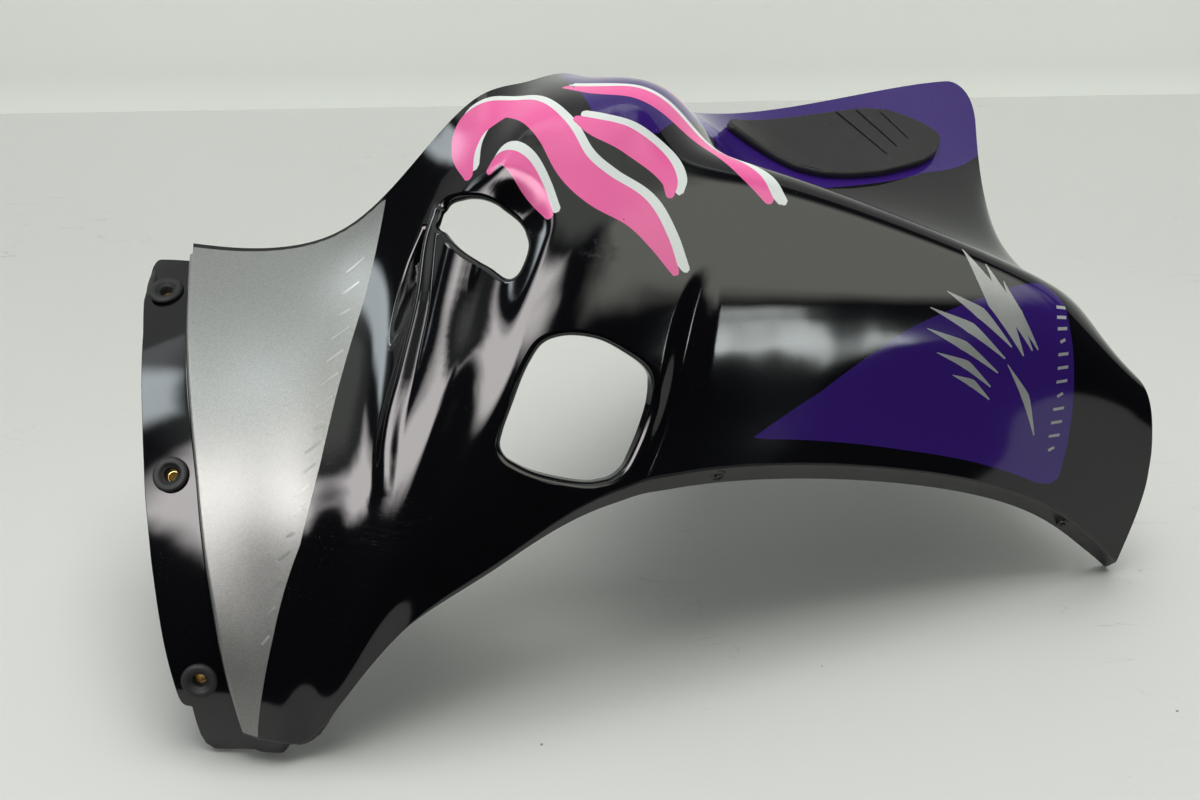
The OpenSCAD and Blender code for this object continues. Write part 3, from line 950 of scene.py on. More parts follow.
class Finishes:
    """All materials of the part."""

    def __init__(self, effects: Effects) -> None:
        """Build the materials.

        Args:
            effects: Shared node groups.
        """
        self.effects = effects
        plain = (BARE_BLACK, SATIN_LIP, MATT_COVER, RUBBER, BRASS, STEEL, WHITE_MARK)
        self.by_name = {f.name: self._plain(f) for f in plain}
        self.paint = self._paint()
        log.info("materials: %d", len(self.by_name) + 1)

    @staticmethod
    def _start(name: str) -> tuple[bpy.types.Material, NodeTree, bpy.types.Node]:
        """A new material with its helper and its shader."""
        mat, t = empty_material(name)
        bsdf = t.node("ShaderNodeBsdfPrincipled")
        t.node("ShaderNodeOutputMaterial", {0: bsdf.outputs[0]})
        return mat, t, bsdf

    def _plain(self, f: Finish) -> bpy.types.Material:
        """Material of one finish with grain, dust and wear.

        Args:
            f: The finish.

        Returns:
            The material.
        """
        mat, t, bsdf = self._start(f.name)
        colour = t.mix(t.ramp(t.noise(60, 3), 0.3, 0.7), f.base, tinted(f.base, 1.18))
        patches = t.ramp(t.noise(45, 4, 0.6), 0.3, 0.75)
        rough = t.mix_value(patches, f.roughness * 0.88, f.roughness * 1.15)
        if f.dust:
            mask = Effects.use(t, self.effects.dust, f.dust)
            colour = t.mix(mask, colour, DUST)
            rough = t.mix_value(mask, rough, 0.9)
        if f.wear:
            mask = Effects.use(t, self.effects.scratches, f.wear)
            rough = t.mix_value(mask, rough, min(1.0, f.roughness + 0.3))
            colour = t.mix(t.math("MULTIPLY", mask, 0.35), colour, (0.3, 0.3, 0.3))
        bump = t.node("ShaderNodeBump", {"Height": t.noise(f.grain_scale, 3, 0.6), "Strength": f.grain,
                                         "Distance": 0.0002})
        for key, value in (("Base Color", colour), ("Roughness", rough), ("Normal", bump.outputs[0])):
            t.tree.links.new(value, bsdf.inputs[key])
        bsdf.inputs["Metallic"].default_value = f.metallic
        bsdf.inputs["Specular IOR Level"].default_value = f.specular
        bsdf.inputs["Coat Weight"].default_value = f.coat
        bsdf.inputs["Coat Roughness"].default_value = 0.08
        return mat

    def _paint(self) -> bpy.types.Material:
        """Gloss black paint with its decals; the pink and white print and the purple decals glow a little, as
        painted light.

        Returns:
            The material, which reads the distance layers of the skin.
        """
        mat, t, bsdf = self._start("painted_skin")
        scuff = Effects.use(t, self.effects.scratches, 1.0)
        dust = Effects.use(t, self.effects.dust, 0.25)
        edge = 0.12
        names = ("silver", "purple", "shadow", "pink")
        silver_mask, purple, shadow, pink = (t.inverse(t.ramp(t.layer(n), -edge, edge)) for n in names)
        chip = t.ramp(t.noise(260, 3, 0.65), 0.70, 0.715)
        chipped = t.math("MULTIPLY", chip, t.inverse(t.ramp(t.layer("chips"), 0.0, 9.0)))
        pink = t.math("MULTIPLY", pink, t.inverse(chipped))
        flake = t.node("ShaderNodeTexVoronoi", {"Vector": t.coord(), "Scale": 2600.0})
        sparkle = t.node("ShaderNodeSeparateColor", {0: flake.outputs["Color"]}).outputs[0]
        colour = t.mix(silver_mask, BLACK, t.mix(sparkle, tinted(SILVER, 0.86), tinted(SILVER, 1.16)))
        colour = t.mix(purple, colour, PURPLE)
        colour = t.mix(shadow, colour, WHITE)
        colour = t.mix(pink, colour, t.mix(t.ramp(t.noise(18, 2), 0.35, 0.7), PINK, tinted(PINK, 0.94)))
        colour = t.mix(t.math("MULTIPLY", scuff, 0.25), colour, (0.35, 0.36, 0.35))
        colour = t.mix(dust, colour, (0.5, 0.5, 0.48))
        metal = t.math("MULTIPLY", silver_mask, 0.6)
        print_mask = t.math("MAXIMUM", pink, shadow)
        rough = t.mix_value(silver_mask, 0.075, t.mix_value(sparkle, 0.42, 0.5))
        rough = t.mix_value(print_mask, rough, 0.22)
        scuffed = t.inverse(t.ramp(t.layer("scuffs"), 0.0, 14.0))
        haze = t.math("MULTIPLY", t.ramp(t.noise(120, 4, 0.7), 0.45, 0.65), scuffed)
        rough = t.mix_value(haze, rough, 0.42)
        rough = t.mix_value(scuff, rough, 0.45)
        ripple = t.node("ShaderNodeBump", {"Height": t.noise(30, 1, 0.4), "Strength": 0.10,
                                           "Distance": 0.002})
        grain = t.node("ShaderNodeBump", {"Height": sparkle, "Strength": t.math("MULTIPLY", silver_mask, 0.2),
                                          "Distance": 0.0001, "Normal": ripple.outputs[0]})
        # Painted light: the pink and white print and the purple decals give off light at 0.35 of their own
        # colour, though they are no lamp
        glow = t.math("MULTIPLY", t.math("MAXIMUM", print_mask, purple), 0.35)
        for key, value in (("Base Color", colour), ("Roughness", rough), ("Normal", grain.outputs[0]),
                           ("Metallic", metal), ("Emission Color", colour), ("Emission Strength", glow)):
            t.tree.links.new(value, bsdf.inputs[key])
        return mat

    def __getitem__(self, f: Finish) -> bpy.types.Material:
        """Material of a finish."""
        return self.by_name[f.name]


@dataclass
class Stroke:
    """A brush stroke of the artwork: stations of (u, v, half width)."""

    stations: Sequence[tuple[float, float, float]]
    path: Optional[Array] = None

    def fit(self, skin: Skin) -> None:
        """Lay the stroke on the skin as a smooth path."""
        s = smooth_path(np.array(self.stations, float), 8)
        self.path = np.hstack([skin.base(s[:, 0], s[:, 1]), np.maximum(s[:, 2:], 0.05)])

    def distance(self, points: Array) -> Array:
        """Signed distance of points to the stroke's edge.

        Args:
            points: Points (n, 3).

        Returns:
            Distances, negative inside.
        """
        best = np.full(len(points), FAR)
        for a, b in zip(self.path[:-1], self.path[1:]):
            d = b[:3] - a[:3]
            t = np.clip((points - a[:3]) @ d / max(float(d @ d), 1e-9), 0, 1)
            dist = np.linalg.norm(points - a[:3] - t[:, None] * d, axis=1) - (a[3] + t * (b[3] - a[3]))
            best = np.minimum(best, dist)
        return best


SWOOSHES = [
    Stroke([(4.09, 6.28, 2.5), (3.95, 6.61, 6.5), (4.15, 6.75, 7.5), (4.83, 6.54, 7.5), (5.58, 5.71, 7.5),
            (5.95, 5.17, 7.5), (6.37, 4.7, 8), (6.82, 4.22, 7.5), (7.12, 3.71, 5), (7.33, 3.25, 2)]),
    Stroke([(4.5, 6.0, 1.8), (4.72, 5.94, 3.5), (5.08, 5.55, 5), (5.4, 5.12, 4.5), (5.66, 4.76, 2.2)]),
    Stroke([(5.98, 5.66, 2), (6.25, 5.44, 4.5), (6.66, 5.16, 6), (7.02, 4.82, 6), (7.2, 4.5, 4),
            (7.22, 4.28, 2)]),
    Stroke([(5.79, 6.3, 2), (6.26, 5.95, 4), (6.74, 5.74, 5), (7.22, 5.47, 5.5), (7.65, 5.08, 6),
            (7.95, 4.6, 5), (8.1, 4.24, 2.5)]),
    Stroke([(6.15, 6.55, 1.6), (6.42, 6.36, 2.8), (6.75, 6.22, 3.2), (7.06, 6.08, 2.4), (7.22, 5.98, 1.5)]),
]
# Outlines of the plain decals as (u, v)
PURPLE_PANEL = [(8.09, 0.53), (8.48, 1.3), (8.81, 2.11), (9.0, 2.59), (9.29, 3.21), (9.46, 3.58),
                (9.83, 4.51), (9.97, 4.3), (10.05, 4.04), (10.08, 3.05), (10.11, 1.99), (10.12, 1.01),
                (10.11, 0.53), (10.05, 0.36), (9.93, 0.28), (9.44, 0.33), (8.99, 0.34), (8.49, 0.4),
                (8.16, 0.44), (8.07, 0.48)]
PURPLE_FAR = [(5.5, 7.3), (5.95, 6.15), (6.2, 5.6), (6.5, 5.2), (7.0, 5.2), (7.35, 5.8), (7.6, 6.1),
              (8.1, 6.2), (8.73, 6.33), (9.19, 6.39), (9.67, 6.46), (10.95, 6.5), (11.3, 6.5), (11.3, 7.3)]
SILVER_PANEL = [(-0.5, -0.3), (0.78, -0.1), (0.86, 0.16), (1.45, 1.3), (1.99, 2.55), (2.2, 3.6),
                (2.36, 4.57), (2.58, 5.8), (2.74, 6.95), (-0.5, 6.95)]


def closed_outline(outline: Sequence[Pair], k: int = 8) -> Array:
    """Points along a closed outline, k to each side, ending where it starts."""
    p = np.array([*outline, outline[0]])
    return np.vstack([np.linspace(a, b, k + 1)[:-1] for a, b in zip(p[:-1], p[1:])] + [p[-1:]])


@dataclass
class Artwork:
    """Signed distances of the decals on the skin.

    Attributes:
        skin: The outer skin.
        chips: Place of the chipped paint as (u, v).
        scuffs: Place of the scuffed paint as (u, v).
        shift: How far the white shadow lies beside the pink, as (u, v).
    """

    skin: Skin
    chips: Pair = (6.75, 4.05)
    scuffs: Pair = (6.45, 3.9)
    shift: Pair = (0.10, 0.02)

    def __post_init__(self) -> None:
        """Lay the strokes and their shadows on the skin."""
        du, dv = self.shift
        self.shadows = [Stroke([(u + du, v + dv, w) for u, v, w in s.stations]) for s in SWOOSHES]
        for s in SWOOSHES + self.shadows:
            s.fit(self.skin)

    def lines(self) -> list[Array]:
        """Decal edges that the triangles follow.

        Returns:
            Lines of (u, v), cut where they leave the skin.
        """
        out = []
        for poly in (PURPLE_PANEL, PURPLE_FAR, SILVER_PANEL):
            p = closed_outline(poly)
            ok = (p[:, 0] > 0.06) & (p[:, 0] < 10.94) & (p[:, 1] > 0.06) & (p[:, 1] < 6.62)
            breaks = np.flatnonzero(np.diff(ok.astype(int))) + 1
            out += [run for run, good in zip(np.split(p, breaks), np.split(ok, breaks)) if good[0]]
        return [run for run in out if len(run) > 1]

    def layers(self, points: Array, ab: Array) -> dict[str, Array]:
        """Signed distances for points of the skin.

        Args:
            points: Not used; the plain surface at (u, v) stands in for the points of the skin.
            ab: Their (u, v).

        Returns:
            One array per decal, negative inside.
        """
        flat = self.skin.base(ab[:, 0], ab[:, 1])
        out = {}
        for name, polys in (("silver", [SILVER_PANEL]), ("purple", [PURPLE_PANEL, PURPLE_FAR])):
            best = np.full(len(flat), FAR)
            for poly in polys:
                dense = closed_outline(poly)
                d = nearest_on_path(flat, self.skin.base(dense[:, 0], dense[:, 1]))[0]
                best = np.minimum(best, np.where(inside(np.array(poly), ab), -d, d))
            out[name] = best
        for name, strokes in (("pink", SWOOSHES), ("shadow", self.shadows)):
            out[name] = np.min([s.distance(flat) for s in strokes], axis=0)
        for name, place in (("chips", self.chips), ("scuffs", self.scuffs)):
            out[name] = np.linalg.norm(flat - self.skin.base(*place), axis=1)
        return out


@dataclass
class FairingShell:
    """The moulded shell: skin, rims, flange, lip, strip, leg and ribs.

    Attributes:
        skin: The outer skin.
        art: Decals on it.
        finishes: Materials.
        roll: Radius of an opening's rounded rim.
        rim_wall: Wall of that rim.
        top_v: Rail at which the flange ends.
        step_radii: Radii of the flange's step, above and below.
        step_lean: Slope of the step.
        nut_hole: Radius of the flange's holes.
        lip_roll: Radius of the bend into the lip.
        lip_wall: Wall of the lip.
        lip_hole: Radius of the lip's holes.
        hole_reach: Distance of these holes along the lip's section.
    """

    skin: Skin
    art: Artwork
    finishes: Finishes
    roll: float = 3.0
    rim_wall: float = 2.2
    top_v: float = 6.86
    step_radii: Pair = (2.0, 1.1)
    step_lean: float = math.radians(80)
    nut_hole: float = 5.2
    lip_roll: float = 2.6
    lip_wall: float = 2.4
    lip_hole: float = 2.0
    hole_reach: float = 6.3

    def __post_init__(self) -> None:
        """Split the front edge and the windscreen edge evenly."""
        skin = self.skin
        self.front_us = even_params(lambda t: skin.base(t, 0 * t), 0, 11, 2.0)
        self.front_us[int(np.argmin(abs(self.front_us - FLANGE_END)))] = FLANGE_END
        self.left_vs = even_params(lambda t: skin.base(0 * t, t), 0, self.top_v, 2.0)

    def build(self) -> list[bpy.types.Object]:
        """Build the pieces of the shell."""
        return [self._skin_piece(), self._flange_piece(), self._lip_piece(), self._inner_pieces()]

    def _map(self, u: Array, v: Array) -> tuple[Array, Array]:
        """Points and normals of the outer skin."""
        return self.skin.point(u, v), self.skin.normal(u, v)

    def _offset_loop(self, loop: Array, distance: float) -> Array:
        """Move an opening's outline outward along the skin.

        Args:
            loop: Outline as (u, v).
            distance: Distance in millimetres.

        Returns:
            The moved outline.
        """
        u, v = loop.T
        p, n = self._map(u, v)
        t = unit(np.roll(p, -1, 0) - np.roll(p, 1, 0))
        out = -np.cross(n, t)
        return loop + self.skin.step_of(u, v, out * distance)

    def _skin_piece(self) -> bpy.types.Object:
        """The skin with both openings and their turned-in rims.

        Returns:
            The piece.
        """
        skin = self.skin
        end_vs = even_params(lambda t: skin.base(0 * t + 11, t * skin.v_end(11.0) / 7), 0, 7, 2.0)
        far_us = even_params(lambda t: skin.base(t, skin.v_end(t)), 0, 11, 2.0)
        top_vs = np.linspace(self.top_v, 7, 3)
        border = np.vstack([
            np.stack([self.front_us, 0 * self.front_us], -1)[:-1],
            np.stack([0 * end_vs + 11, end_vs * skin.v_end(11.0) / 7], -1)[:-1],
            np.stack([far_us, skin.v_end(far_us)], -1)[::-1][:-1],
            np.stack([0 * top_vs, top_vs], -1)[::-1][:-1],
            np.stack([0 * self.left_vs, self.left_vs], -1)[::-1][:-1]])
        nf, ne, na = len(self.front_us) - 1, len(end_vs) - 1, len(far_us) - 1
        open_edge = np.zeros(len(border), bool)
        open_edge[nf:nf + ne + na + 2] = True
        bag = MeshBag()
        holes = []
        for outline, depth in zip((OVAL, SQUARE), RIM_DEPTHS):
            outer = self._offset_loop(smooth_loop(outline, 8), self.roll)
            holes.append(outer)
            self._rim(bag, outer, depth)
        plate = Plate(self._map, border, (40.0, 40.0), WALL, holes, self.art.lines(), open_edge, False)
        grid = self._grid(1.8)
        for h in holes:
            for d in (1.2, 2.6):
                grid = np.vstack([grid, self._offset_loop(h, d)])
        plate.mesh(bag, grid, self.art.layers, (0, 1, 0), 0.8, self._grid(4.5, False))
        return bag.build("skin", [self.finishes.paint, self.finishes[BARE_BLACK]], Slot.PAINT,
                         ["fairing_shell"])

    def _grid(self, step: float, fine: bool = True) -> Array:
        """Inner points of the skin.

        Args:
            step: Distance between neighbours in millimetres.
            fine: Whether points lie closer by the pressed features.

        Returns:
            Points (n, 2) as (u, v).
        """
        skin = self.skin
        out = []
        for size, close in ((step, False), (1.3, True)) if fine else ((step, False),):
            us = even_params(lambda t: skin.base(t, 0 * t + 3.0), 0.02, 10.98, size)
            pts = []
            for i, u in enumerate(us):
                end = float(skin.v_end(u)) - 0.02
                vs = even_params(lambda t, u=u: skin.base(0 * t + u, t), 0.02, end, size)
                if i % 2:
                    vs = (vs[1:] + vs[:-1]) / 2
                pts.append(np.stack([0 * vs + u, vs], -1))
            pts = np.vstack(pts)
            if fine:
                p = skin.base(pts[:, 0], pts[:, 1])
                near, taken = np.zeros(len(pts), bool), np.zeros(len(pts), bool)
                for f in skin.features:
                    dist, values = nearest_on_path(p, f.path)
                    near |= (dist < values[:, 0] + 1.5) & (np.abs(values[:, 1]) > 0.15)
                    if f.is_narrow:
                        taken |= dist < values[:, 0] * 1.15 + 0.4
                pts = pts[(near == close) & ~taken]
            out.append(pts)
        if fine:
            for f in skin.features:
                if f.is_narrow:
                    out.append(self._along(f))
        return np.vstack(out)

    def _along(self, f: Feature) -> Array:
        """Points in rows along a narrow feature, so that its sides shade evenly.

        Args:
            f: The feature.

        Returns:
            Points (n, 2) as (u, v).
        """
        skin = self.skin
        st = np.array(f.stations, float)
        steps = smooth_path(st, 24)
        p = skin.base(steps[:, 0], steps[:, 1])
        s = np.concatenate([[0], np.cumsum(np.linalg.norm(np.diff(p, axis=0), axis=1))])
        even = np.linspace(0, s[-1], int(s[-1] / 1.5) + 1)
        steps = np.stack([np.interp(even, s, steps[:, k]) for k in range(4)], -1)
        u, v, half = steps[:, 0], steps[:, 1], steps[:, 2]
        p, n = skin.base(u, v), skin.base_normal(u, v)
        side = np.cross(n, unit(np.gradient(p, axis=0)))
        count = int(math.ceil(half.max() / 0.85))
        out = []
        for share in np.linspace(-1.1, 1.1, 2 * count + 1):
            move = side * (half * share)[:, None]
            out.append(np.stack([u, v], -1) + skin.step_of(u, v, move, plain=True))
        out = np.vstack(out)
        return out[(out[:, 1] > 0.03) & (out[:, 1] < 6.9)]

    def _rim(self, bag: MeshBag, outer: Array, depth: float) -> None:
        """Turned-in rim of an opening, from the skin's edge round to the inner side.

        Args:
            bag: Bag that takes the rim.
            outer: The skin's edge as (u, v).
            depth: Depth of the rim.
        """
        p0, n = self._map(outer[:, 0], outer[:, 1])
        t = unit(np.roll(p0, -1, 0) - np.roll(p0, 1, 0))
        o = unit(-np.cross(n, t))
        r, wall = self.roll, self.rim_wall
        rows, norms = [], []
        for a in np.linspace(0, math.pi / 2, 7):
            rows.append(p0 - o * r * math.sin(a) - n * r * (1 - math.cos(a)))
            norms.append(n * math.cos(a) - o * math.sin(a))
        for h in (r + 0.05, depth - wall / 2):
            rows.append(p0 - o * r - n * h)
            norms.append(-o)
        for a in np.linspace(0.4, math.pi - 0.4, 5):
            rows.append(p0 - o * (r - wall / 2 + wall / 2 * math.cos(a))
                        - n * (depth - wall / 2 + wall / 2 * math.sin(a)))
            norms.append(-o * math.cos(a) - n * math.sin(a))
        rows.append(p0 - o * (r - wall) - n * min(WALL + 1.2, depth - wall / 2))
        norms.append(o)
        rows.append(p0 - n * WALL)
        norms.append(-n)
        values = self.art.layers(p0, outer)
        grid = {k: np.tile(x, (len(rows), 1)) for k, x in values.items()}
        bag.grid(np.array(rows), np.array(norms), closed=True, **grid)

    def _flange_map(self, s: Array, b: Array) -> tuple[Array, Array]:
        """Points and normals of the windscreen flange.

        Args:
            s: -v along the windscreen edge, 0 to 1 round the corner, then 1 + u.
            b: 0 to 1 down the step, 1 to 2 across the ledge.

        Returns:
            Points and normals.
        """
        skin = self.skin
        s, b = np.broadcast_arrays(np.asarray(s, float), np.asarray(b, float))
        v = np.clip(-s, 0, 7)
        u = np.clip(s - 1, 0, FLANGE_END)
        p, n = skin.base(u, v), skin.base_normal(u, v)
        w = self._flange_reach(s, p)
        width = np.linalg.norm(w, axis=1)
        d = unit(w)
        (r1, r2), lean = self.step_radii, self.step_lean
        drop = JOGGLE - r1 * (1 - math.cos(lean)) - r2 * (1 - math.cos(lean))
        prof = [(0.0, 0.0, 0.0)]
        for a in np.linspace(0, lean, 7)[1:]:
            prof.append((r1 * math.sin(a), -r1 * (1 - math.cos(a)), a))
        x, z, _ = prof[-1]
        x, z = x + drop / math.tan(lean), z - drop
        prof.append((x, z, lean))
        for a in np.linspace(lean, 0, 6)[1:]:
            prof.append((x + r2 * (math.sin(lean) - math.sin(a)), z - r2 * (math.cos(a) - math.cos(lean)), a))
        q = np.array(prof)
        length = np.concatenate([[0], np.cumsum(np.linalg.norm(np.diff(q[:, :2], axis=0), axis=1))])
        t = np.clip(b, 0, 1) * length[-1]
        px, pz, pa = (np.interp(t, length, q[:, i]) for i in range(3))
        ledge = np.clip(b - 1, 0, 1)
        px = px + ledge * (width - q[-1, 0])
        pz = pz - ledge * 0.3 - ledge**2 * 1.1
        pa = pa + np.arctan((0.3 + 2.2 * ledge) / np.maximum(width - q[-1, 0], 1)) * (b > 1)
        point = p + d * px[:, None] + n * pz[:, None]
        return point, unit(n * np.cos(pa)[:, None] + d * np.sin(pa)[:, None])

    def _flange_reach(self, s: Array, p: Array) -> Array:
        """Vectors from the skin's edge to the flange's outer edge.

        Args:
            s: Places along the edge, as for the flange's points.
            p: Points of the skin's edge there.

        Returns:
            Vectors (n, 3).
        """
        skin = self.skin
        v, u = np.clip(-s, 0, 7), np.clip(s - 1, 0, FLANGE_END)
        more, corner, near = (np.array(t, float) for t in (FLANGE_MORE, FLANGE_CORNER, NEAR_SHARE))
        at = np.concatenate([-more[::-1, 0], np.arange(1, len(corner) + 1) / len(corner), 1 + near[1:, 0]])
        out = np.concatenate([FLANGE_W + more[::-1, 1], corner[:, 0], 0 * near[1:, 0]])
        down = np.concatenate([0 * more[:, 0], corner[:, 1], NEAR_W * near[1:, 1]])
        o = skin.out_u(u, v)
        reach = np.interp(s, at, out)
        room = (p[:, 0] + FLANGE_X) / np.maximum(-o[:, 0], 0.2)
        reach = np.where(s < -0.5, np.minimum(reach, room), reach)
        return o * reach[:, None] + skin.out_v(u, v) * np.interp(s, at, down)[:, None]

    @staticmethod
    def _flange_layers(points: Array, ab: Array) -> dict[str, Array]:
        """Distances of the decals, of which only the silver reaches down the flange's step."""
        out = {name: np.full(len(points), FAR) for name in ("purple", "pink", "shadow", "chips", "scuffs")}
        return {**out, "silver": np.where((ab[:, 1] < 0.55) & (ab[:, 0] < 0.1), -1.0, 9.0)}

    def _nut_holes(self) -> list[Array]:
        """Outlines of the three holes.

        Returns:
            Loops of places on the flange.
        """
        skin, r = self.skin, self.nut_hole
        a = np.linspace(0, 2 * math.pi, 28, endpoint=False)
        holes = []
        for v, out in zip(NUT_VS, NUT_OUT):
            dv = np.linalg.norm(skin.base(0.0, v + 0.05) - skin.base(0.0, v - 0.05)) / 0.1
            edge, outer = (self._flange_map(np.array([-v]), np.array([b]))[0][0] for b in (1.0, 2.0))
            o = skin.out_u(0.0, v)[0]
            near, wide = (edge - skin.base(0.0, v)[0]) @ o, (outer - edge) @ o
            holes.append(np.stack([-v + r / dv * np.cos(a),
                                   1 + (FLANGE_W * out - near + r * np.sin(a)) / wide], -1))
        return holes

    def _flange_piece(self) -> bpy.types.Object:
        """Flange with its step, three nut holes, rounded far end and nub.

        Returns:
            The piece.
        """
        near_us = self.front_us[self.front_us <= FLANGE_END + 1e-9]
        inner, outer = (np.concatenate([-self.left_vs[::-1], np.linspace(0, 1, k)[1:], 1 + near_us[1:]])
                        for k in (15, 29))
        first, last = inner[0], inner[-1]
        step = np.linspace(0, 1, 14)
        ledge = np.linspace(1, 2, 13)[1:]
        turn = np.linspace(math.pi / 2, 0, 7)[1:-1]
        corner = np.stack([first + 0.13 * (1 - np.sin(turn)), 2 - 0.16 * (1 - np.cos(turn))], -1)
        outer = outer[outer > first + 0.14]
        # far end, corner and outer edge, then the near end and back along the step
        border = np.vstack([
            [(first, 0.0)], [(first, b) for b in np.concatenate([step[1:], ledge[ledge < 1.84]])],
            corner[np.argsort(corner[:, 1])], np.stack([outer, 0 * outer + 2], -1),
            [(last, b) for b in np.concatenate([step[1:], ledge[:-1]])[::-1]],
            np.stack([inner, 0 * inner], -1)[::-1][:-1]])[::-1]
        on_skin = border[:, 1] == 0
        open_edge = ~(on_skin & np.roll(on_skin, -1))
        ss = even_params(lambda t: self._flange_map(t, 0 * t + 1.5)[0], first, last, 1.8)
        bs = np.concatenate([step, np.linspace(1, 2, 14)[1:-1]])
        grid = np.array([(s, b) for s in ss for b in bs[1:]])
        bag = MeshBag()
        plate = Plate(self._flange_map, border, (30.0, 16.0), WALL, self._nut_holes(), (), open_edge,
                      bulge=0.5, squareness=0.6)
        plate.mesh(bag, grid, self._flange_layers, (0, 1, 0), 0.35)
        self._nub(bag)
        return bag.build("windscreen_flange", [self.finishes.paint, self.finishes[BARE_BLACK]], Slot.PAINT)

    def _nub(self, bag: MeshBag) -> None:
        """Small moulding nub on the flange's outer edge.

        Args:
            bag: Bag that takes the nub.
        """
        skin = self.skin
        rows, norms = [], []
        for v in np.linspace(6.42, 6.74, 9):
            p, n = skin.base(0.0, v)[0], skin.base_normal(0.0, v)[0]
            o = skin.out_u(0.0, v)[0]
            size = 1.4 * math.sqrt(max(0.02, 1 - ((v - 6.58) / 0.17) ** 2))
            reach = np.linalg.norm(self._flange_reach(np.array([-v]), p[None]))
            c = p + o * min(reach - 0.2, p[0] + FLANGE_X - 1.2) - n * (JOGGLE + 1.7)
            ring = np.linspace(0, 2 * math.pi, 10, endpoint=False)
            dirs = np.cos(ring)[:, None] * o * 1.5 + np.sin(ring)[:, None] * n
            rows.append(c + dirs * size)
            norms.append(unit(dirs))
        bag.grid(np.array(rows), np.array(norms), closed=True, slot=1)

    def _lip_map(self, u: Array, b: Array) -> tuple[Array, Array]:
        """Points and normals of the return lip.

        Args:
            u: Stations.
            b: Distance along the lip's section in millimetres.

        Returns:
            Points and normals.
        """
        skin, r = self.skin, self.lip_roll
        u, b = np.broadcast_arrays(np.asarray(u, float), np.asarray(b, float))
        zero = 0 * u
        p, _ = self._map(u, zero)
        n, o = skin.base_normal(u, zero), skin.out_v(u, zero)
        arc = r * LIP_TURN
        phi = np.clip(b / arc, 0, 1) * LIP_TURN
        rest = np.maximum(b - arc, 0)
        x = r * np.sin(phi) + rest * math.cos(LIP_TURN)
        z = -r * (1 - np.cos(phi)) - rest * math.sin(LIP_TURN)
        point = p + o * x[:, None] + n * z[:, None]
        normal = unit(n * np.cos(phi)[:, None] + o * np.sin(phi)[:, None])
        blend = np.clip(b / arc, 0, 1)[:, None]
        return point, unit(normal * blend + skin.normal(u, zero) * (1 - blend))

    @staticmethod
    def _lip_width(u: Array) -> Array:
        """Width of the lip along the front edge, less towards both ends."""
        near, far = 0.25 + np.maximum(0, u - FLANGE_END) * 0.6, 1 - np.maximum(0, u - 10.4) * 0.27
        return LIP_W * np.minimum(np.minimum(1, near), far)

    def _lip_piece(self) -> bpy.types.Object:
        """Return lip along the front edge, with two screw holes.

        Returns:
            The piece.
        """
        us = self.front_us[self.front_us >= FLANGE_END - 1e-9]
        widths = self._lip_width(us)
        ends = np.linspace(0, 1, 8)[1:-1]
        border = np.vstack([
            np.stack([us, 0 * us], -1)[::-1],
            [(us[0], b * widths[0]) for b in ends],
            np.stack([us, widths], -1),
            [(us[-1], b * widths[-1]) for b in ends[::-1]]])
        on_skin = border[:, 1] == 0
        open_edge = ~(on_skin & np.roll(on_skin, -1))
        holes = []
        a, r = np.linspace(0, 2 * math.pi, 24, endpoint=False), self.lip_hole
        for u in LIP_HOLES_U:
            du = np.linalg.norm(self.skin.base(u + 0.05, 0.0) - self.skin.base(u - 0.05, 0.0)) / 0.1
            holes.append(np.stack([u + r / du * np.cos(a), self.hole_reach + r * np.sin(a)], -1))
        bs = np.concatenate([np.arange(0.3, 2, 0.35), np.arange(2.2, LIP_W, 1.5)])
        grid = np.array([(u, b) for u in us[1:-1] for b in bs])
        bag = MeshBag()
        plate = Plate(self._lip_map, border, (43.0, 1.0), self.lip_wall, holes, (), open_edge,
                      bulge=0.4, squareness=0.7)
        plate.mesh(bag, grid, lambda pts, ab: {}, (0, 1, 0), 0.3)
        seat = [(3.6, -0.3), (3.55, 0.35), (3.25, 0.5), (2.9, 0.35), (2.75, -0.1), (2.0, -0.3)]
        for u in LIP_HOLES_U:
            p, n = self._lip_map(np.array([u]), np.array([self.hole_reach]))
            lathe(bag, p[0], frame_at(n[0]), seat, 32)
        return bag.build("front_lip", [self.finishes[SATIN_LIP], self.finishes[BARE_BLACK]], Slot.PAINT)

    def _sweep(self, bag: MeshBag, sections: Array, slot: int = 0) -> None:
        """Close a swept solid: flat-shaded sides and both ends.

        Args:
            bag: Bag that takes the solid.
            sections: Outlines along the sweep (n, m, 3).
            slot: Material slot.
        """
        n, m = sections.shape[:2]
        centre = sections.mean(1)
        for j in range(m):
            a, b = sections[:, j], sections[:, (j + 1) % m]
            pts = np.stack([a, b], 1)
            t = unit(np.gradient(a, axis=0))
            nrm = unit(np.cross(t, unit(b - a)))
            mid = (a + b) / 2 - centre
            if float((nrm * mid).sum()) < 0:
                nrm = -nrm
            bag.grid(pts, np.stack([nrm, nrm], 1), slot=slot)
        for sec, d in ((sections[0], sections[0].mean(0) - sections[1].mean(0)),
                       (sections[-1], sections[-1].mean(0) - sections[-2].mean(0))):
            bag.add(sec, np.tile(unit(d), (m, 1)), [tuple(range(m))], slot)

    def _lip_axes(self, u: float) -> tuple[Array, Array, Array]:
        """Point of the front edge, direction across the lip and direction to its inner side."""
        skin = self.skin
        p, n, o = skin.base(u, 0.0)[0], skin.base_normal(u, 0.0)[0], skin.out_v(u, 0.0)[0]
        c, s = math.cos(LIP_TURN), math.sin(LIP_TURN)
        return p, o * c - n * s, -n * c - o * s

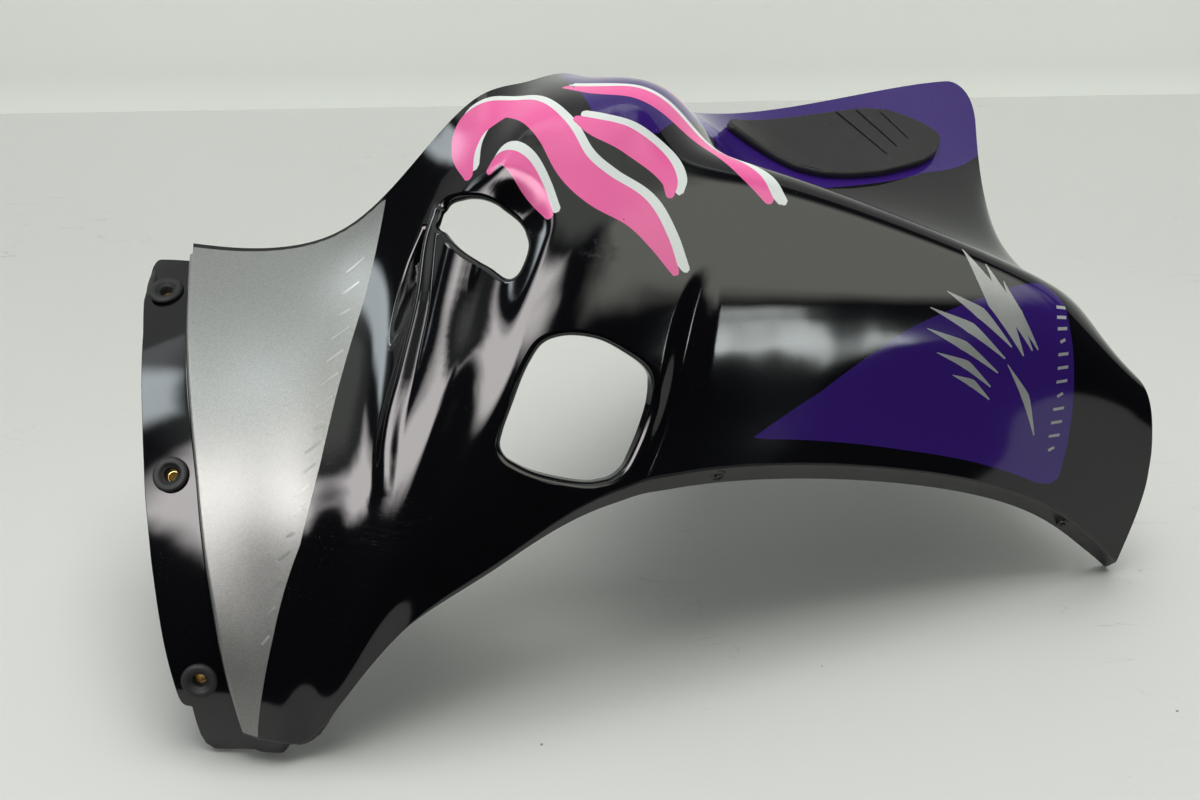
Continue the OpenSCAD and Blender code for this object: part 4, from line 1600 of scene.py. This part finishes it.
    def _inner_pieces(self) -> bpy.types.Object:
        """Strip and peg behind the lip, the inner leg and the ribs.

        Returns:
            The piece.
        """
        bag = MeshBag()
        outline = ((3, 1.5), (9, 6.5), (14, 6.5), (14, 9), (8, 9), (2, 4))
        secs = []
        for u in np.linspace(3.15, 4.65, 25):
            p, w, i = self._lip_axes(u)
            secs.append([p + w * a + i * b for a, b in outline])
        self._sweep(bag, np.array(secs))
        p, w, i = self._lip_axes(3.3)
        peg = [(1.8, 3.5), (1.8, 9.6), (1.5, 10.3), (0.9, 10.7), (0.01, 10.8)]
        lathe(bag, p + i * 3, np.stack([i, np.cross(w, i), w]), peg, 20)
        self._leg(bag)
        self._ribs(bag)
        return bag.build("inner_supports", [self.finishes[BARE_BLACK]], Slot.PAINT)

    def _leg(self, bag: MeshBag) -> None:
        """Channel-shaped leg under the crest.

        Args:
            bag: Bag that takes the leg.
        """
        top, n = self._map(np.array([7.5]), np.array([6.6]))
        p = top[0] - n[0] * 1.6
        st = [(p[0], p[1], p[2], 34), (p[0] + 1, p[1] + 4, 150, 32), (29, 90, 120, 29), (30, 96, 80, 27),
              (30, 99, 40, 26), (30, 100, 0, 26)]
        secs = []
        for k, (x, y, z, w) in enumerate(st):
            h = w / 2
            prof = [(-h, 0), (-h, 9), (3 - h, 9), (3 - h, 3.2), (h - 3, 3.2), (h - 3, 9), (h, 9), (h, 0)]
            secs.append([(x + a, y + b, z - ((a * n[0][0] + b * n[0][1]) / n[0][2] if k == 0 else 0))
                         for a, b in prof])
        secs = np.array(secs)
        t = np.linspace(0, len(st) - 1, 21)
        i = np.clip(t.astype(int), 0, len(st) - 2)
        f = (t - i)[:, None, None]
        self._sweep(bag, secs[i] * (1 - f) + secs[i + 1] * f)

    def _ribs(self, bag: MeshBag) -> None:
        """Stiffening rib under the skin before the wing.

        Args:
            bag: Bag that takes the rib.
        """
        us = np.linspace(8.1, 10.5, 40)
        p, n = self._map(us, 0 * us + 6.1)
        t = unit(np.gradient(p, axis=0))
        o = np.cross(n, t)
        secs = np.stack([p - n * 2.6 - o * 1.3, p - n * 6.4 - o * 1.0, p - n * 6.9, p - n * 6.4 + o * 1.0,
                         p - n * 2.6 + o * 1.3], 1)
        self._sweep(bag, secs)


@dataclass
class WindscreenFixings:
    """Rubber well nuts with threaded brass inserts.

    Attributes:
        skin: The outer skin.
        finishes: Materials.
        bore: Radius at the crests of the thread.
        cut: Depth of the thread.
        pitch: Pitch of the thread.
        top: Height of the insert's upper end.
        length: Length of the thread.
    """

    NAMES = ("upper", "middle", "lower")

    skin: Skin
    finishes: Finishes
    bore: float = 2.1
    cut: float = 0.22
    pitch: float = 0.8
    top: float = -3.6
    length: float = 9.0

    def place(self, v: float, out: float) -> tuple[Array, Array]:
        """Seat and frame of a nut on the flange.

        Args:
            v: Rail.
            out: Share of the flange's width.

        Returns:
            Origin and rows x, y, z.
        """
        s = self.skin
        n = s.base_normal(0.0, v)[0]
        p = s.base(0.0, v)[0] + s.out_u(0.0, v)[0] * FLANGE_W * out - n * (JOGGLE + 0.05)
        return p, frame_at(n)

    def build(self) -> list[bpy.types.Object]:
        """Build all nuts and inserts.

        Returns:
            The inserts.
        """
        h = NUT_HEAD_R
        outside = [(3.0, -13), (5.4, -12.8), (6.1, -12.2), (6.4, -9), (6.3, -6), (5.6, -4.2), (5.0, -3.6),
                   (5.0, -0.1), (h - 0.5, 0.0), (h - 0.05, 0.25), (h, 0.7), (h - 0.15, 1.3), (h - 0.6, 1.85),
                   (h - 1.3, 2.15), (h - 2.1, 2.2), (h - 2.9, 2.05), (h - 3.5, 1.6), (4.2, 1.15),
                   (3.7, 0.75), (3.2, 0.5), (3.0, 0.1), (3.0, -3.5)]
        out = []
        for name, v, reach in zip(self.NAMES, NUT_VS, NUT_OUT):
            p, axes = self.place(v, reach)
            bag = MeshBag()
            lathe(bag, p, axes, outside, 64,
                  wobble=lambda a, z, v=v: 0.05 * np.sin(3 * a + 5 * v) * (z > -0.2))
            bag.build(f"well_nut_{name}_rubber", [self.finishes[RUBBER]], Slot.RUBBER, [f"well_nut_{name}"])
            out.append(self._insert(name, p, axes))
        return out

    def _insert(self, name: str, p: Array, axes: Array) -> bpy.types.Object:
        """Brass insert with a cut thread.

        Args:
            name: Name of the nut.
            p: Origin of the nut.
            axes: Rows x, y, z of its frame.

        Returns:
            The piece.
        """
        bag = MeshBag()
        r, low, turns = self.bore, self.top - self.length, 11
        sleeve = [(r, low), (2.95, low), (2.95, self.top), (2.5, self.top + 0.05), (2.3, self.top)]
        lathe(bag, p, axes, sleeve, 40, sharp=True)
        rows, norms = [], []
        ang = np.linspace(0, 2 * math.pi, 40, endpoint=False)
        ring = np.cos(ang)[:, None] * axes[0] + np.sin(ang)[:, None] * axes[1]
        for z in self.top - self.length * np.linspace(0, 1, turns * 8 + 1):
            wave = np.abs(((z / self.pitch + ang / (2 * math.pi)) % 1.0) * 2 - 1)
            rows.append(p + ring * (r + self.cut * wave)[:, None] + axes[2] * z)
            norms.append(-ring + axes[2] * 0.3 * np.sign(wave - 0.5)[:, None])
        bag.grid(np.array(rows), np.array(norms), closed=True)
        return bag.build(f"nut_insert_{name}_brass", [self.finishes[BRASS]], Slot.BRASS,
                         [f"nut_insert_{name}"])


@dataclass
class VentCover:
    """Slotted cover on the wing, with its screws.

    Attributes:
        skin: The outer skin.
        finishes: Materials.
        slot_radius: Radius of a slot's round ends.
    """

    # Outline: stations, lower rail and upper rail
    U = [7.75, 7.85, 8, 8.2, 8.4, 8.65, 8.9, 9.15, 9.4, 9.6, 9.75, 9.86, 9.94, 9.98]
    LO = [6.71, 6.66, 6.6, 6.52, 6.45, 6.41, 6.41, 6.43, 6.47, 6.5, 6.53, 6.56, 6.6, 6.635]
    HI = [6.78, 6.81, 6.83, 6.85, 6.86, 6.865, 6.865, 6.86, 6.83, 6.78, 6.74, 6.705, 6.67, 6.645]
    # Ends of the slots in millimetres, seen from above
    SLOTS = [((101, 140), (124, 107)), ((112, 142), (130, 115)), ((125, 142), (137, 123))]

    skin: Skin
    finishes: Finishes
    slot_radius: float = 1.5

    def _map(self, u: Array, v: Array) -> tuple[Array, Array]:
        """Points and normals of the cover's top side."""
        n = self.skin.normal(u, v)
        return self.skin.point(u, v) + n * VENT_T, n

    def _uv_of(self, x: float, y: float) -> Array:
        """(u, v) of the wing below a place on the table.

        Args:
            x: Place in millimetres.
            y: Place in millimetres.

        Returns:
            Station and rail.
        """
        uv = np.array([9.2, 6.6])
        for _ in range(12):
            p = self.skin.point(uv[:1], uv[1:])[0]
            du = (self.skin.point(uv[:1] + EPS, uv[1:])[0] - p) / EPS
            dv = (self.skin.point(uv[:1], uv[1:] + EPS)[0] - p) / EPS
            jac = np.stack([du[:2], dv[:2]], -1)
            uv = uv + np.clip(np.linalg.solve(jac, np.array([x, y]) - p[:2]), -0.4, 0.4)
        return uv

    def _slot_loop(self, a: Array, b: Array) -> Array:
        """Outline of a slot between two places on the table, as (u, v).

        Args:
            a: First end in millimetres.
            b: Second end.

        Returns:
            Points (n, 2), counter-clockwise.
        """
        d = unit(b - a)
        s = np.array([-d[1], d[0]])
        loop = []
        for end, start in ((a, math.pi / 2), (b, -math.pi / 2)):
            for ang in start + np.arange(7) * math.pi / 6:
                loop.append(end + self.slot_radius * (d * math.cos(ang) + s * math.sin(ang)))
        uv = np.array([self._uv_of(*q) for q in loop])
        area = float(np.sum(uv[:, 0] * np.roll(uv[:, 1], -1) - np.roll(uv[:, 0], -1) * uv[:, 1]))
        return uv if area > 0 else uv[::-1]

    def build(self) -> list[bpy.types.Object]:
        """Build the cover and its screws.

        Returns:
            The pieces.
        """
        us = np.interp(np.linspace(0, 1, 90), np.linspace(0, 1, len(self.U)), self.U)
        lo, hi = np.interp(us, self.U, self.LO), np.interp(us, self.U, self.HI)
        border = np.vstack([np.stack([us, lo], -1), np.stack([us, hi], -1)[::-1]])
        holes = [self._slot_loop(np.array(a, float), np.array(b, float)) for a, b in self.SLOTS]
        shares = np.linspace(0, 1, 22)[1:-1]
        grid = np.array([(u, l + (h - l) * s) for u, l, h in zip(us, lo, hi) for s in shares])
        bag = MeshBag()
        plate = Plate(self._map, border, (45.0, 80.0), VENT_T - 0.4, holes, bulge=0.7, squareness=0.4)
        plate.mesh(bag, grid, lambda pts, ab: {}, (0, 0, 0), 0.5)
        cover = bag.build("vent_cover_plate", [self.finishes[MATT_COVER]], Slot.MATT, ["vent_cover"])
        return [cover] + [self._screw(n, u, v) for n, (u, v) in zip(("left", "middle", "right"), VENT_SCREWS)]

    def _screw(self, name: str, u: float, v: float) -> bpy.types.Object:
        """Pan-head screw from the inner side of the wing.

        Args:
            name: Name of the screw.
            u: Station.
            v: Rail.

        Returns:
            The piece.
        """
        p = self.skin.point(np.array([u]), np.array([v]))[0]
        n = self.skin.normal(np.array([u]), np.array([v]))[0]
        bag = MeshBag()
        z = -WALL - 2.1
        profile = [(0.01, z + 0.9), (1.1, z + 0.9), (1.2, z), (2.4, z), (3.0, z + 0.35), (3.35, z + 1.1),
                   (3.4, z + 1.9), (3.3, z + 2.05), (1.42, z + 2.05), (1.42, 3.0), (1.0, 3.2), (0.01, 3.2)]
        lathe(bag, p, frame_at(n), profile, 36, sharp=True)
        return bag.build(f"vent_screw_{name}_steel", [self.finishes[STEEL]], Slot.STEEL,
                         [f"vent_screw_{name}"])


@dataclass
class Marks:
    """Small white motifs laid on the decals.

    Attributes:
        skin: The outer skin.
        finishes: Materials.
        lift: Height above the skin.
        sink: Depth of the lower side in the skin.
    """

    # Middle line of the long row of bars, and leaves of the fan as (start, middle, end, half width)
    LINE = [(1.22, 1.3), (1.72, 2.5), (1.96, 3.4), (2.14, 4.3), (2.28, 5.3), (2.36, 6.3)]
    FAN = [((9.30, 4.50), (9.52, 3.55), (9.70, 2.6), 4.6), ((9.44, 4.33), (9.60, 3.5), (9.76, 2.75), 3.0),
           ((9.56, 4.05), (9.66, 3.4), (9.80, 2.8), 2.2), ((9.22, 3.45), (9.42, 3.2), (9.62, 2.7), 2.6),
           ((9.12, 3.05), (9.36, 2.86), (9.58, 2.45), 2.4), ((9.10, 2.65), (9.32, 2.5), (9.54, 2.15), 2.2),
           ((9.16, 2.25), (9.34, 2.16), (9.50, 1.85), 2.0), ((9.26, 1.9), (9.38, 1.84), (9.5, 1.6), 1.8),
           ((9.60, 2.35), (9.74, 1.85), (9.84, 1.15), 1.9)]

    skin: Skin
    finishes: Finishes
    lift: float = 0.06
    sink: float = 0.05

    def _leaf(self, bag: MeshBag, stations: Sequence[tuple[float, float, float]]) -> None:
        """Lay a thin strip with a varying half width on the skin.

        Args:
            bag: Bag that takes the strip.
            stations: Stations of (u, v, half width).
        """
        skin = self.skin
        st = np.array(stations, float)
        t = np.linspace(0, len(st) - 1, 10 * (len(st) - 1) + 1)
        u, v, w = (np.interp(t, np.arange(len(st)), st[:, k]) for k in range(3))
        uv = np.stack([u, v], -1)
        for _ in range(3):
            uv[1:-1] = (uv[:-2] + 2 * uv[1:-1] + uv[2:]) / 4
        p, n = skin.point(*uv.T), skin.normal(*uv.T)
        side = np.cross(n, unit(np.gradient(p, axis=0)))
        cols, norms = [], []
        for k in np.linspace(-1, 1, 5):
            q = uv + skin.step_of(*uv.T, side * (w * k)[:, None])
            cols.append(skin.point(*q.T))
            norms.append(skin.normal(*q.T))
        top = [c + m * self.lift for c, m in zip(cols, norms)]
        low = [c - m * self.sink for c, m in zip(cols, norms)][::-1]
        pts = np.array(top + low).transpose(1, 0, 2)
        bag.grid(pts, np.array(norms + [-m for m in norms[::-1]]).transpose(1, 0, 2), closed=True)
        for row, along in ((0, p[0] - p[1]), (-1, p[-1] - p[-2])):
            bag.add(pts[row], np.tile(unit(along), (len(pts[row]), 1)), [tuple(range(len(pts[row])))])

    def build(self) -> bpy.types.Object:
        """Build the rows of bars and the fan.

        Returns:
            The piece.
        """
        bag = MeshBag()
        line = np.array(self.LINE)
        for k in range(17):
            t = k / 16 * (len(line) - 1)
            u, v = (float(np.interp(t, np.arange(len(line)), line[:, c])) for c in range(2))
            if k % 5 == 4:
                self._leaf(bag, [(u - 0.05, v - 0.02, 0.5), (u + 0.02, v, 0.9), (u + 0.1, v + 0.02, 0.5)])
            else:
                self._leaf(bag, [(u - 0.09, v - 0.03, 0.55), (u + 0.14, v + 0.07, 0.55)])
        for k in range(12):
            v = 0.95 + k * 0.27
            size = 0.8 if k % 4 else 0.4
            self._leaf(bag, [(9.99 - 0.045 * size, v, 0.75), (9.99 + 0.06 * size, v + 0.10, 0.75)])
        for a, b, c, w in self.FAN:
            self._leaf(bag, [(*a, 0.15), (*b, w), (*c, 0.3)])
        return bag.build("graphic_marks", [self.finishes[WHITE_MARK]], Slot.PAINT)


@dataclass(frozen=True)
class Patch:
    """A bright or dark part of the room, by direction in degrees."""

    azimuth: tuple[float, float]
    elevation: tuple[float, float]
    soft: tuple[float, float]
    colour: Colour
    strength: float


@dataclass(frozen=True)
class Card:
    """A bright card that shows in reflections alone."""

    name: str
    corners: Sequence[tuple[float, float, float]]
    colour: Colour
    strength: float


@dataclass(frozen=True)
class Lamp:
    """A soft-edged bright window that shows in reflections alone.

    Attributes:
        centre: Place it's seen from, in millimetres.
        azimuth: Its range of azimuth in degrees.
        elevation: Its range of elevation in degrees.
    """

    name: str
    centre: tuple[float, float, float]
    azimuth: tuple[float, float]
    elevation: tuple[float, float]
    colour: Colour
    strength: float


@dataclass
class Studio:
    """Table, wall, cards, room light and camera.

    Attributes:
        lamp_distance: Distance of a lamp's window from its centre, in millimetres.
        overhead_power: Power of the overhead light in watts.
        wall_glow: Glow of the wall.
        pale: Colour of the table.
        wall: Colour of the wall.
    """

    ROOM = (
        Patch((-180, 180), (60, 95), (1, 8), (0.95, 1.0, 0.92), 0.5),
        Patch((-160, -100), (34, 62), (9, 6), (0.93, 0.98, 1.0), 1.6),
        Patch((125, 181), (27, 74), (10, 5), (0.97, 1.0, 0.96), 2.2),
        Patch((-181, -145), (27, 74), (10, 5), (0.97, 1.0, 0.96), 2.2),
    )
    # Reflector cards by their corners in millimetres, seen in reflections alone
    CARDS = (
        Card("belly_card", ((598, -700, 430), (615, -679, 488), (623, -732, 386), (643, -762, 261),
                            (658, -770, 177), (657, -768, 141), (622, -773, 214), (610, -770, 235),
                            (600, -768, 250)), (0.92, 1.0, 0.98), 12.5),
    )
    LAMPS = (
        Lamp("duct_lamp", (-70, -110, 150), (-76, 0), (22, 60), (1.0, 0.95, 0.95), 11.0),
        Lamp("ridge_lamp", (-90, -60, 170), (-114, -82), (32, 58), (0.86, 0.96, 1.0), 8.5),
        Lamp("front_glow", (150, -50, 150), (-6, 106), (22, 72), (0.97, 1.0, 0.88), 2.5),
        Lamp("ceiling_glow", (0, -50, 150), (-180, 180), (54, 89.9), (0.95, 1.0, 0.92), 1.2),
    )
    lamp_distance: float = 900.0
    overhead_power: float = 33.0
    wall_glow: float = 0.44
    pale: Colour = (0.82, 0.83, 0.81)
    wall: Colour = (0.78, 0.80, 0.76)

    def build(self) -> None:
        """Build everything that isn't part of the object."""
        self._camera()
        self._world()
        self._table()
        self._wall()
        self._overhead()
        for card in self.CARDS:
            self._card(card)
        for lamp in self.LAMPS:
            self._lamp(lamp)
        log.info("studio ready")

    def _reflected(self, name: str, mesh: bpy.types.Mesh, mat: bpy.types.Material) -> None:
        """Link a stage object that shows in reflections alone."""
        obj = self._put(name, mesh, mat)
        obj.visible_camera = obj.visible_diffuse = obj.visible_shadow = obj.visible_transmission = False

    def _card(self, card: Card) -> None:
        """Build one reflector card.

        Args:
            card: Its values.
        """
        mesh = bpy.data.meshes.new(card.name)
        mesh.from_pydata((np.array(card.corners) * MM).tolist(), [], [tuple(range(len(card.corners)))])
        mat, t = empty_material(card.name)
        strength = t.mix_value(t.ramp(t.noise(2.5, 1), 0.2, 0.8), card.strength * 0.9, card.strength * 1.1)
        glow = t.node("ShaderNodeEmission", {"Color": (*card.colour, 1.0), "Strength": strength})
        t.node("ShaderNodeOutputMaterial", {0: glow.outputs[0]})
        self._reflected(card.name, mesh, mat)

    def _overhead(self) -> None:
        """Broad overhead light that gives the table its brightness and the shell its shadow."""
        data = bpy.data.lights.new("overhead", "AREA")
        data.shape, data.size, data.energy, data.color = "SQUARE", 1.5, self.overhead_power, (1.0, 1.0, 0.97)
        light = bpy.data.objects.new("overhead", data)
        light.location = (0.05, 0.22, 2.5)
        light.visible_glossy = False
        bpy.context.scene.collection.objects.link(light)

    def _lamp(self, lamp: Lamp) -> None:
        """Build one soft-edged window.

        Args:
            lamp: Its values.
        """
        rows, cols = 13, 17
        a, b = np.meshgrid(np.linspace(0, 1, rows), np.linspace(0, 1, cols), indexing="ij")
        el = np.radians(lamp.elevation[0] + a * (lamp.elevation[1] - lamp.elevation[0]))
        az = np.radians(lamp.azimuth[0] + b * (lamp.azimuth[1] - lamp.azimuth[0]))
        way = np.stack([np.cos(el) * np.sin(az), -np.cos(el) * np.cos(az), np.sin(el)], -1)
        pts = (np.array(lamp.centre) + self.lamp_distance * way).reshape(-1, 3) * MM
        faces = [(i * cols + j, i * cols + j + 1, (i + 1) * cols + j + 1, (i + 1) * cols + j)
                 for i in range(rows - 1) for j in range(cols - 1)]
        mesh = bpy.data.meshes.new(lamp.name)
        mesh.from_pydata(pts.tolist(), [], faces)
        inner = np.minimum(np.minimum(a, 1 - a), np.minimum(b, 1 - b)).reshape(-1)
        mesh.attributes.new("inner", "FLOAT", "POINT").data.foreach_set("value", inner.astype(np.float32))
        mat, t = empty_material(lamp.name)
        glow = t.node("ShaderNodeEmission", {"Color": (*lamp.colour, 1.0), "Strength": lamp.strength})
        wave = t.math("MULTIPLY", t.math("SUBTRACT", t.noise(5, 2), 0.5), 0.2)
        mask = t.ramp(t.math("ADD", t.layer("inner"), wave), 0.02, 0.26)
        clear = t.node("ShaderNodeBsdfTransparent")
        mixed = t.node("ShaderNodeMixShader", {0: mask, 1: clear.outputs[0], 2: glow.outputs[0]})
        t.node("ShaderNodeOutputMaterial", {0: mixed.outputs[0]})
        self._reflected(lamp.name, mesh, mat)

    @staticmethod
    def _camera() -> None:
        """Camera at the photograph's place."""
        data = bpy.data.cameras.new("camera")
        data.lens, data.sensor_width = 50.0, 36.0
        data.clip_start, data.clip_end = 0.02, 20.0
        cam = bpy.data.objects.new("camera", data)
        cam.location = (-0.028, -0.694, 0.553)
        cam.rotation_euler = (math.radians(55), 0, 0)
        bpy.context.scene.collection.objects.link(cam)
        bpy.context.scene.camera = cam

    @staticmethod
    def _window(t: NodeTree, value: bpy.types.NodeSocket, span: Pair, soft: float) -> bpy.types.NodeSocket:
        """1 where a value lies in a span, with soft ends.

        Args:
            t: Helper of the tree.
            value: The value.
            span: Low and high end.
            soft: Half width of each soft end.

        Returns:
            The mask.
        """
        low, high = (t.ramp(value, end - soft, end + soft) for end in span)
        return t.math("MULTIPLY", low, t.inverse(high))

    def _world(self) -> None:
        """Room light by direction."""
        world = bpy.data.worlds.new("room")
        bpy.context.scene.world = world
        world.use_nodes = True
        world.node_tree.nodes.clear()
        t = NodeTree(world.node_tree)
        xyz = t.node("ShaderNodeSeparateXYZ", {0: t.node("ShaderNodeTexCoord").outputs["Generated"]})
        x, y, z = xyz.outputs
        turn = t.math("ARCTAN2", x, t.math("MULTIPLY", y, -1.0))
        az, el = (t.math("MULTIPLY", angle, math.degrees(1)) for angle in (turn, t.math("ARCSINE", z)))
        colour = t.mix(t.ramp(z, -0.3, 0.5), (0.010, 0.011, 0.012), (0.02, 0.022, 0.024))
        for p in self.ROOM:
            mask = self._window(t, el, p.elevation, p.soft[1])
            if p.azimuth != (-180, 180):
                mask = t.math("MULTIPLY", self._window(t, az, p.azimuth, p.soft[0]), mask)
            colour = t.mix(mask, colour, tuple(c * p.strength for c in p.colour))
        back = t.node("ShaderNodeBackground", {"Color": colour, "Strength": 1.0})
        t.node("ShaderNodeOutputWorld", {0: back.outputs[0]})

    @staticmethod
    def _laminate(name: str, colour: Colour, specks: bool, glow: float) -> bpy.types.Material:
        """Pale laminate, with a few specks and marks where wanted.

        Args:
            name: Name of the material.
            colour: Its colour.
            specks: Whether it has specks and marks.
            glow: Strength of its own glow.

        Returns:
            The material.
        """
        mat, t = empty_material(name)
        base = t.mix(t.ramp(t.noise(3, 3), 0.3, 0.7), colour, tinted(colour, 0.97))
        if specks:
            dots = t.node("ShaderNodeTexVoronoi", {"Vector": t.coord(), "Scale": 38.0, "Randomness": 1.0})
            rnd = t.node("ShaderNodeSeparateColor", {0: dots.outputs["Color"]}).outputs[0]
            size = t.math("MULTIPLY", t.ramp(rnd, 0.72, 1.0), 0.030)
            spot = t.math("LESS_THAN", dots.outputs["Distance"], size)
            base = t.mix(t.math("MULTIPLY", spot, 0.75), base, (0.12, 0.11, 0.10))
            stretched = t.node("ShaderNodeMapping", {"Vector": t.coord(), "Rotation": (0, 0, 0.7),
                                                     "Scale": (1, 9, 1)}).outputs[0]
            line = t.math("ABSOLUTE", t.math("SUBTRACT", t.noise(7, 2, 0.6, stretched), 0.5))
            thin = t.math("MULTIPLY", t.inverse(t.ramp(line, 0.0, 0.003)), t.ramp(t.noise(6, 2), 0.56, 0.66))
            base = t.mix(t.math("MULTIPLY", thin, 0.3), base, (0.3, 0.3, 0.3))
        bsdf = t.node("ShaderNodeBsdfPrincipled", {"Base Color": base, "Roughness": 0.45,
                                                   "Emission Color": base, "Emission Strength": glow})
        t.node("ShaderNodeOutputMaterial", {0: bsdf.outputs[0]})
        return mat

    def _table(self) -> None:
        """Pale table top with its far edge."""
        mesh = bpy.data.meshes.new("table")
        y0, y1 = 0.455, 0.520
        v = [(-1.6, -0.30, 0), (1.6, -0.30, 0), (1.6, y1 + 0.04, 0), (-1.6, y0 - 0.02, 0),
             (1.6, y1 + 0.045, -0.004), (-1.6, y0 - 0.015, -0.004), (1.6, y1 + 0.045, -0.2),
             (-1.6, y0 - 0.015, -0.2)]
        mesh.from_pydata(v, [], [(0, 1, 2, 3), (3, 2, 4, 5), (5, 4, 6, 7)])
        self._put("table", mesh, self._laminate("table", self.pale, True, 0.0))

    def _wall(self) -> None:
        """Pale wall behind the table."""
        mesh = bpy.data.meshes.new("wall")
        v = [(-2.5, 0.50, -0.6), (2.5, 0.62, -0.6), (2.5, 0.62, 1.4), (-2.5, 0.50, 1.4)]
        mesh.from_pydata(v, [], [(0, 1, 2, 3)])
        self._put("wall", mesh, self._laminate("wall", self.wall, False, self.wall_glow))

    @staticmethod
    def _put(name: str, mesh: bpy.types.Mesh, mat: bpy.types.Material) -> bpy.types.Object:
        """Link a stage object."""
        mesh.materials.append(mat)
        obj = bpy.data.objects.new(name, mesh)
        bpy.context.scene.collection.objects.link(obj)
        obj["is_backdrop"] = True
        return obj


def corners() -> list[list[float]]:
    """Lowest and highest corner of what is shown."""
    return [[round(float(c), 6) for c in v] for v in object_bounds()]


def main() -> None:
    """Build the classes in order."""
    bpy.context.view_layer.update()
    bpy.context.scene.view_settings.view_transform = "Standard"
    Studio().build()
    skin = Skin(RAILS, FEATURES)
    finishes = Finishes(Effects())
    FairingShell(skin, Artwork(skin), finishes).build()
    WindscreenFixings(skin, finishes).build()
    VentCover(skin, finishes).build()
    Marks(skin, finishes).build()


if __name__ == "__main__":
    main()
